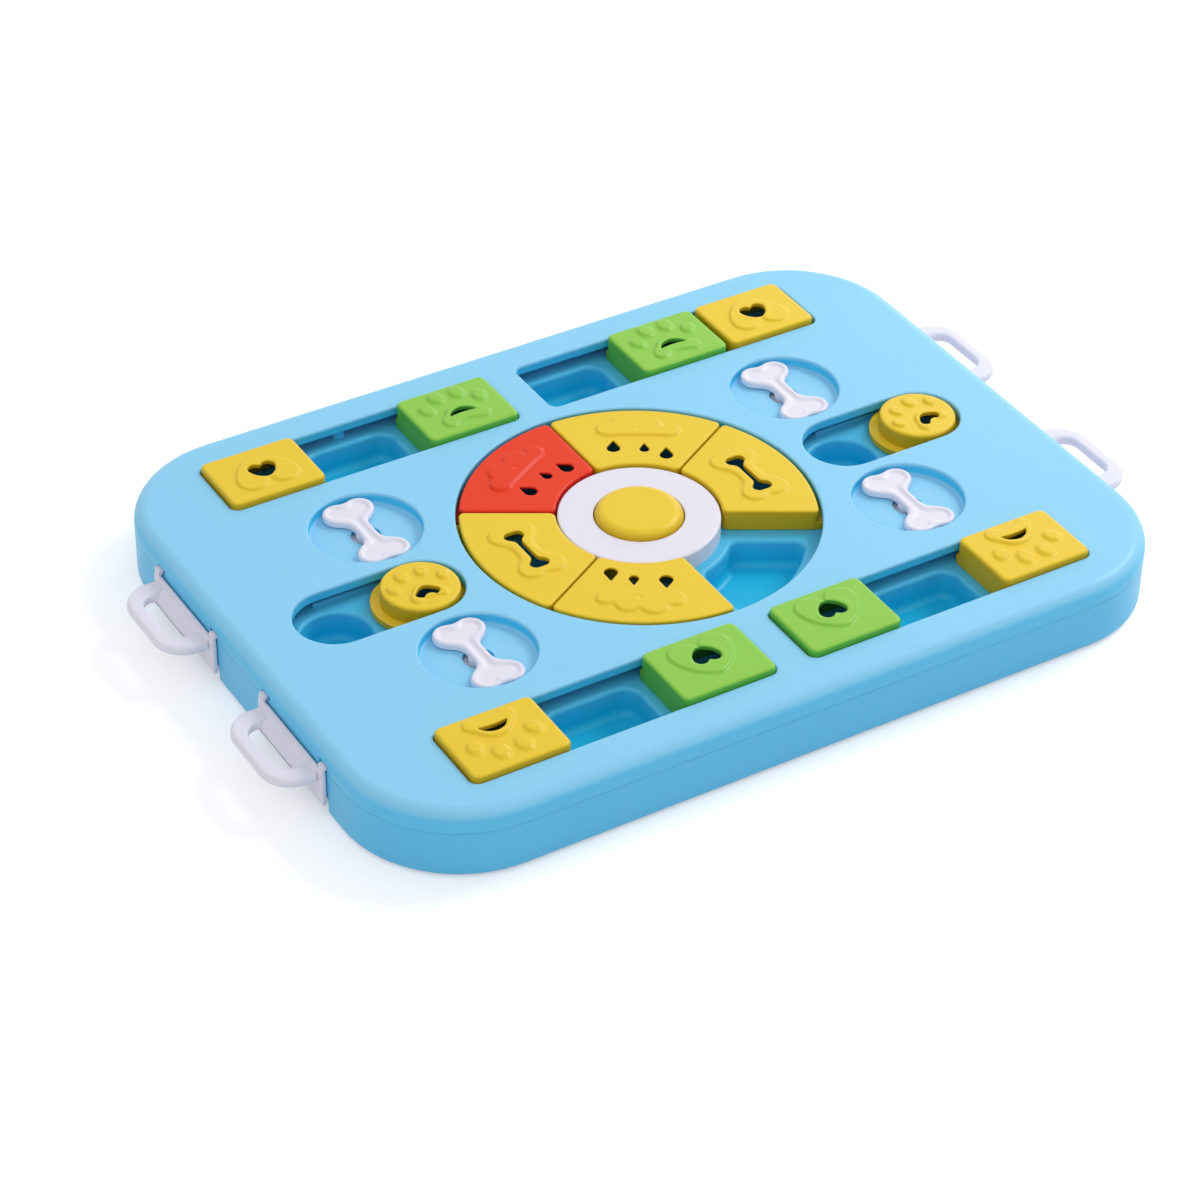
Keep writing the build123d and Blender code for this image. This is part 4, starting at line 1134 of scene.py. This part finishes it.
top_z = cover_top / MM
deck_z = 22.0
well_plan = (0.162, 0.1245)     # inside the tray's side walls
everywhere = (1.0, 1.0)
any_height = (100.0, 101.0)     # all of the object is lower
finishes = {
    "cover_blue": plastic(
        "cover_blue", srgb(143, 211, 246), srgb(136, 206, 243),
        [
            # painted shade: the cover's walls below its top are painted a deeper blue
            (srgb(98, 197, 240), (top_z - 4.5, top_z - 0.2), everywhere, 1),
            # painted shade: the walls of the cut-outs just under the top are painted deeper still
            (srgb(74, 198, 242), (top_z - 2, top_z - 0.1), well_plan, 1),
        ],
        edge=0.8,
    ),
    "tray_blue": plastic(
        "tray_blue", srgb(99, 196, 239), srgb(91, 190, 235),
        # painted shade: the deck and the pockets below it, inside the side walls, are painted a
        # deeper blue, more so the lower they lie
        [(srgb(36, 194, 234), (deck_z - 10, deck_z + 6), well_plan, 0)],
        edge=0.8,
    ),
    "yellow": plastic(
        "yellow", srgb(238, 204, 52), srgb(232, 197, 44),
        # painted shade: the walls are painted a deeper yellow
        [(srgb(208, 172, 22), any_height, everywhere, 1)],
    ),
    "green": plastic(
        "green", srgb(144, 205, 78), srgb(136, 198, 70),
        # painted shade: the walls are painted a deeper green
        [(srgb(88, 178, 62), any_height, everywhere, 1)],
    ),
    "red": plastic(
        "red", srgb(234, 56, 8), srgb(228, 48, 6),
        # painted shade: the walls are painted a deeper red
        [(srgb(206, 28, 8), any_height, everywhere, 1)],
    ),
    "white": plastic("white", srgb(232, 230, 243), srgb(226, 224, 238)),
    "steel": plastic("steel", srgb(180, 182, 186), srgb(160, 162, 166), roughness=0.25),
    "bulb_rubber": plastic("bulb_rubber", srgb(226, 220, 206), srgb(214, 208, 196), roughness=0.6),
    "foot_rubber": plastic("foot_rubber", srgb(214, 218, 224), srgb(204, 208, 214), roughness=0.7),
}
print("finishes:", ", ".join(finishes))

# %% Put the finishes on
for name, piece in nodes.items():
    piece.data.materials.clear()
    piece.data.materials.append(finishes[slot_of[name]])
for piece in new_pieces:
    piece.data.materials.append(finishes[piece["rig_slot"]])
print("finished:", len(nodes), "pieces of the frame and", len(new_pieces), "mouldings")

# %% [markdown]
# ## Floor and light
#
# A product picture has a white sweep. The floor looks white to the camera and to reflections,
# but still takes the board's shadow. Most of the light is even. A soft lamp at the right gives
# each raised figure a bright side and a shaded one, and a weak low lamp behind it puts a thin
# highlight on edges that turn that way.

# %% What the eye sees
def seen_directly(tree, x, y):
    """1 for rays of the camera, of a mirror or through glass, 0 for those that light things."""
    rays = add_node(tree, "ShaderNodeLightPath", x, y).outputs
    either = math_node(tree, "MAXIMUM", x + 180, y, rays["Is Camera Ray"], rays["Is Glossy Ray"])
    return math_node(tree, "MAXIMUM", x + 360, y, either, rays["Is Transmission Ray"])


# %% Floor
def make_floor():
    """A flat square under the board, at the height of its feet, a little brighter to the eye."""
    half, lift = 3.0, 0.36
    mesh = bpy.data.meshes.new("floor")
    corners = [(-half, -half, 0), (half, -half, 0), (half, half, 0), (-half, half, 0)]
    mesh.from_pydata(corners, [], [(0, 1, 2, 3)])
    floor = bpy.data.objects.new("floor", mesh)
    scene.collection.objects.link(floor)
    material = bpy.data.materials.new("floor")
    material.use_nodes = True
    tree = material.node_tree
    brighter = math_node(tree, "MULTIPLY", -150, -300, seen_directly(tree, -700, -300), lift)
    set_inputs(tree, tree.nodes["Principled BSDF"], {
        "Base Color": (0.86, 0.86, 0.87, 1),
        "Roughness": 0.9,
        "Specular IOR Level": 0.1,
        "Emission Color": (1, 1, 1, 1),
        "Emission Strength": brighter,
    })
    mesh.materials.append(material)
    return floor


print("floor:", [round(size, 2) for size in make_floor().dimensions], "m")


# %% Lamps and sky
def soft_lamp(name, place, size, power):
    """A square area lamp at a place in metres, turned to the middle of the board."""
    light = bpy.data.lights.new(name, "AREA")
    light.size = size
    light.energy = power
    lamp = bpy.data.objects.new(name, light)
    scene.collection.objects.link(lamp)
    aim = -Vector(place)
    lamp.matrix_world = Matrix.Translation(place) @ aim.to_track_quat("-Z", "Y").to_matrix().to_4x4()


soft_lamp("key", (1.45, 0.15, 1.35), size=0.7, power=15)
soft_lamp("edge", (1.35, 1.25, 0.75), size=0.5, power=3)
soft_lamp("fill", (-1.2, -1.0, 1.4), size=1.6, power=3)

sky_strength = 0.68
world = bpy.data.worlds.new("studio")
scene.world = world
world.use_nodes = True
sky = world.node_tree
seen = {"Value": seen_directly(sky, -700, -100), "To Min": sky_strength, "To Max": 1.0}
strength = add_node(sky, "ShaderNodeMapRange", -200, -100, seen).outputs[0]
set_inputs(sky, sky.nodes["Background"], {"Color": (1, 1, 1, 1), "Strength": strength})
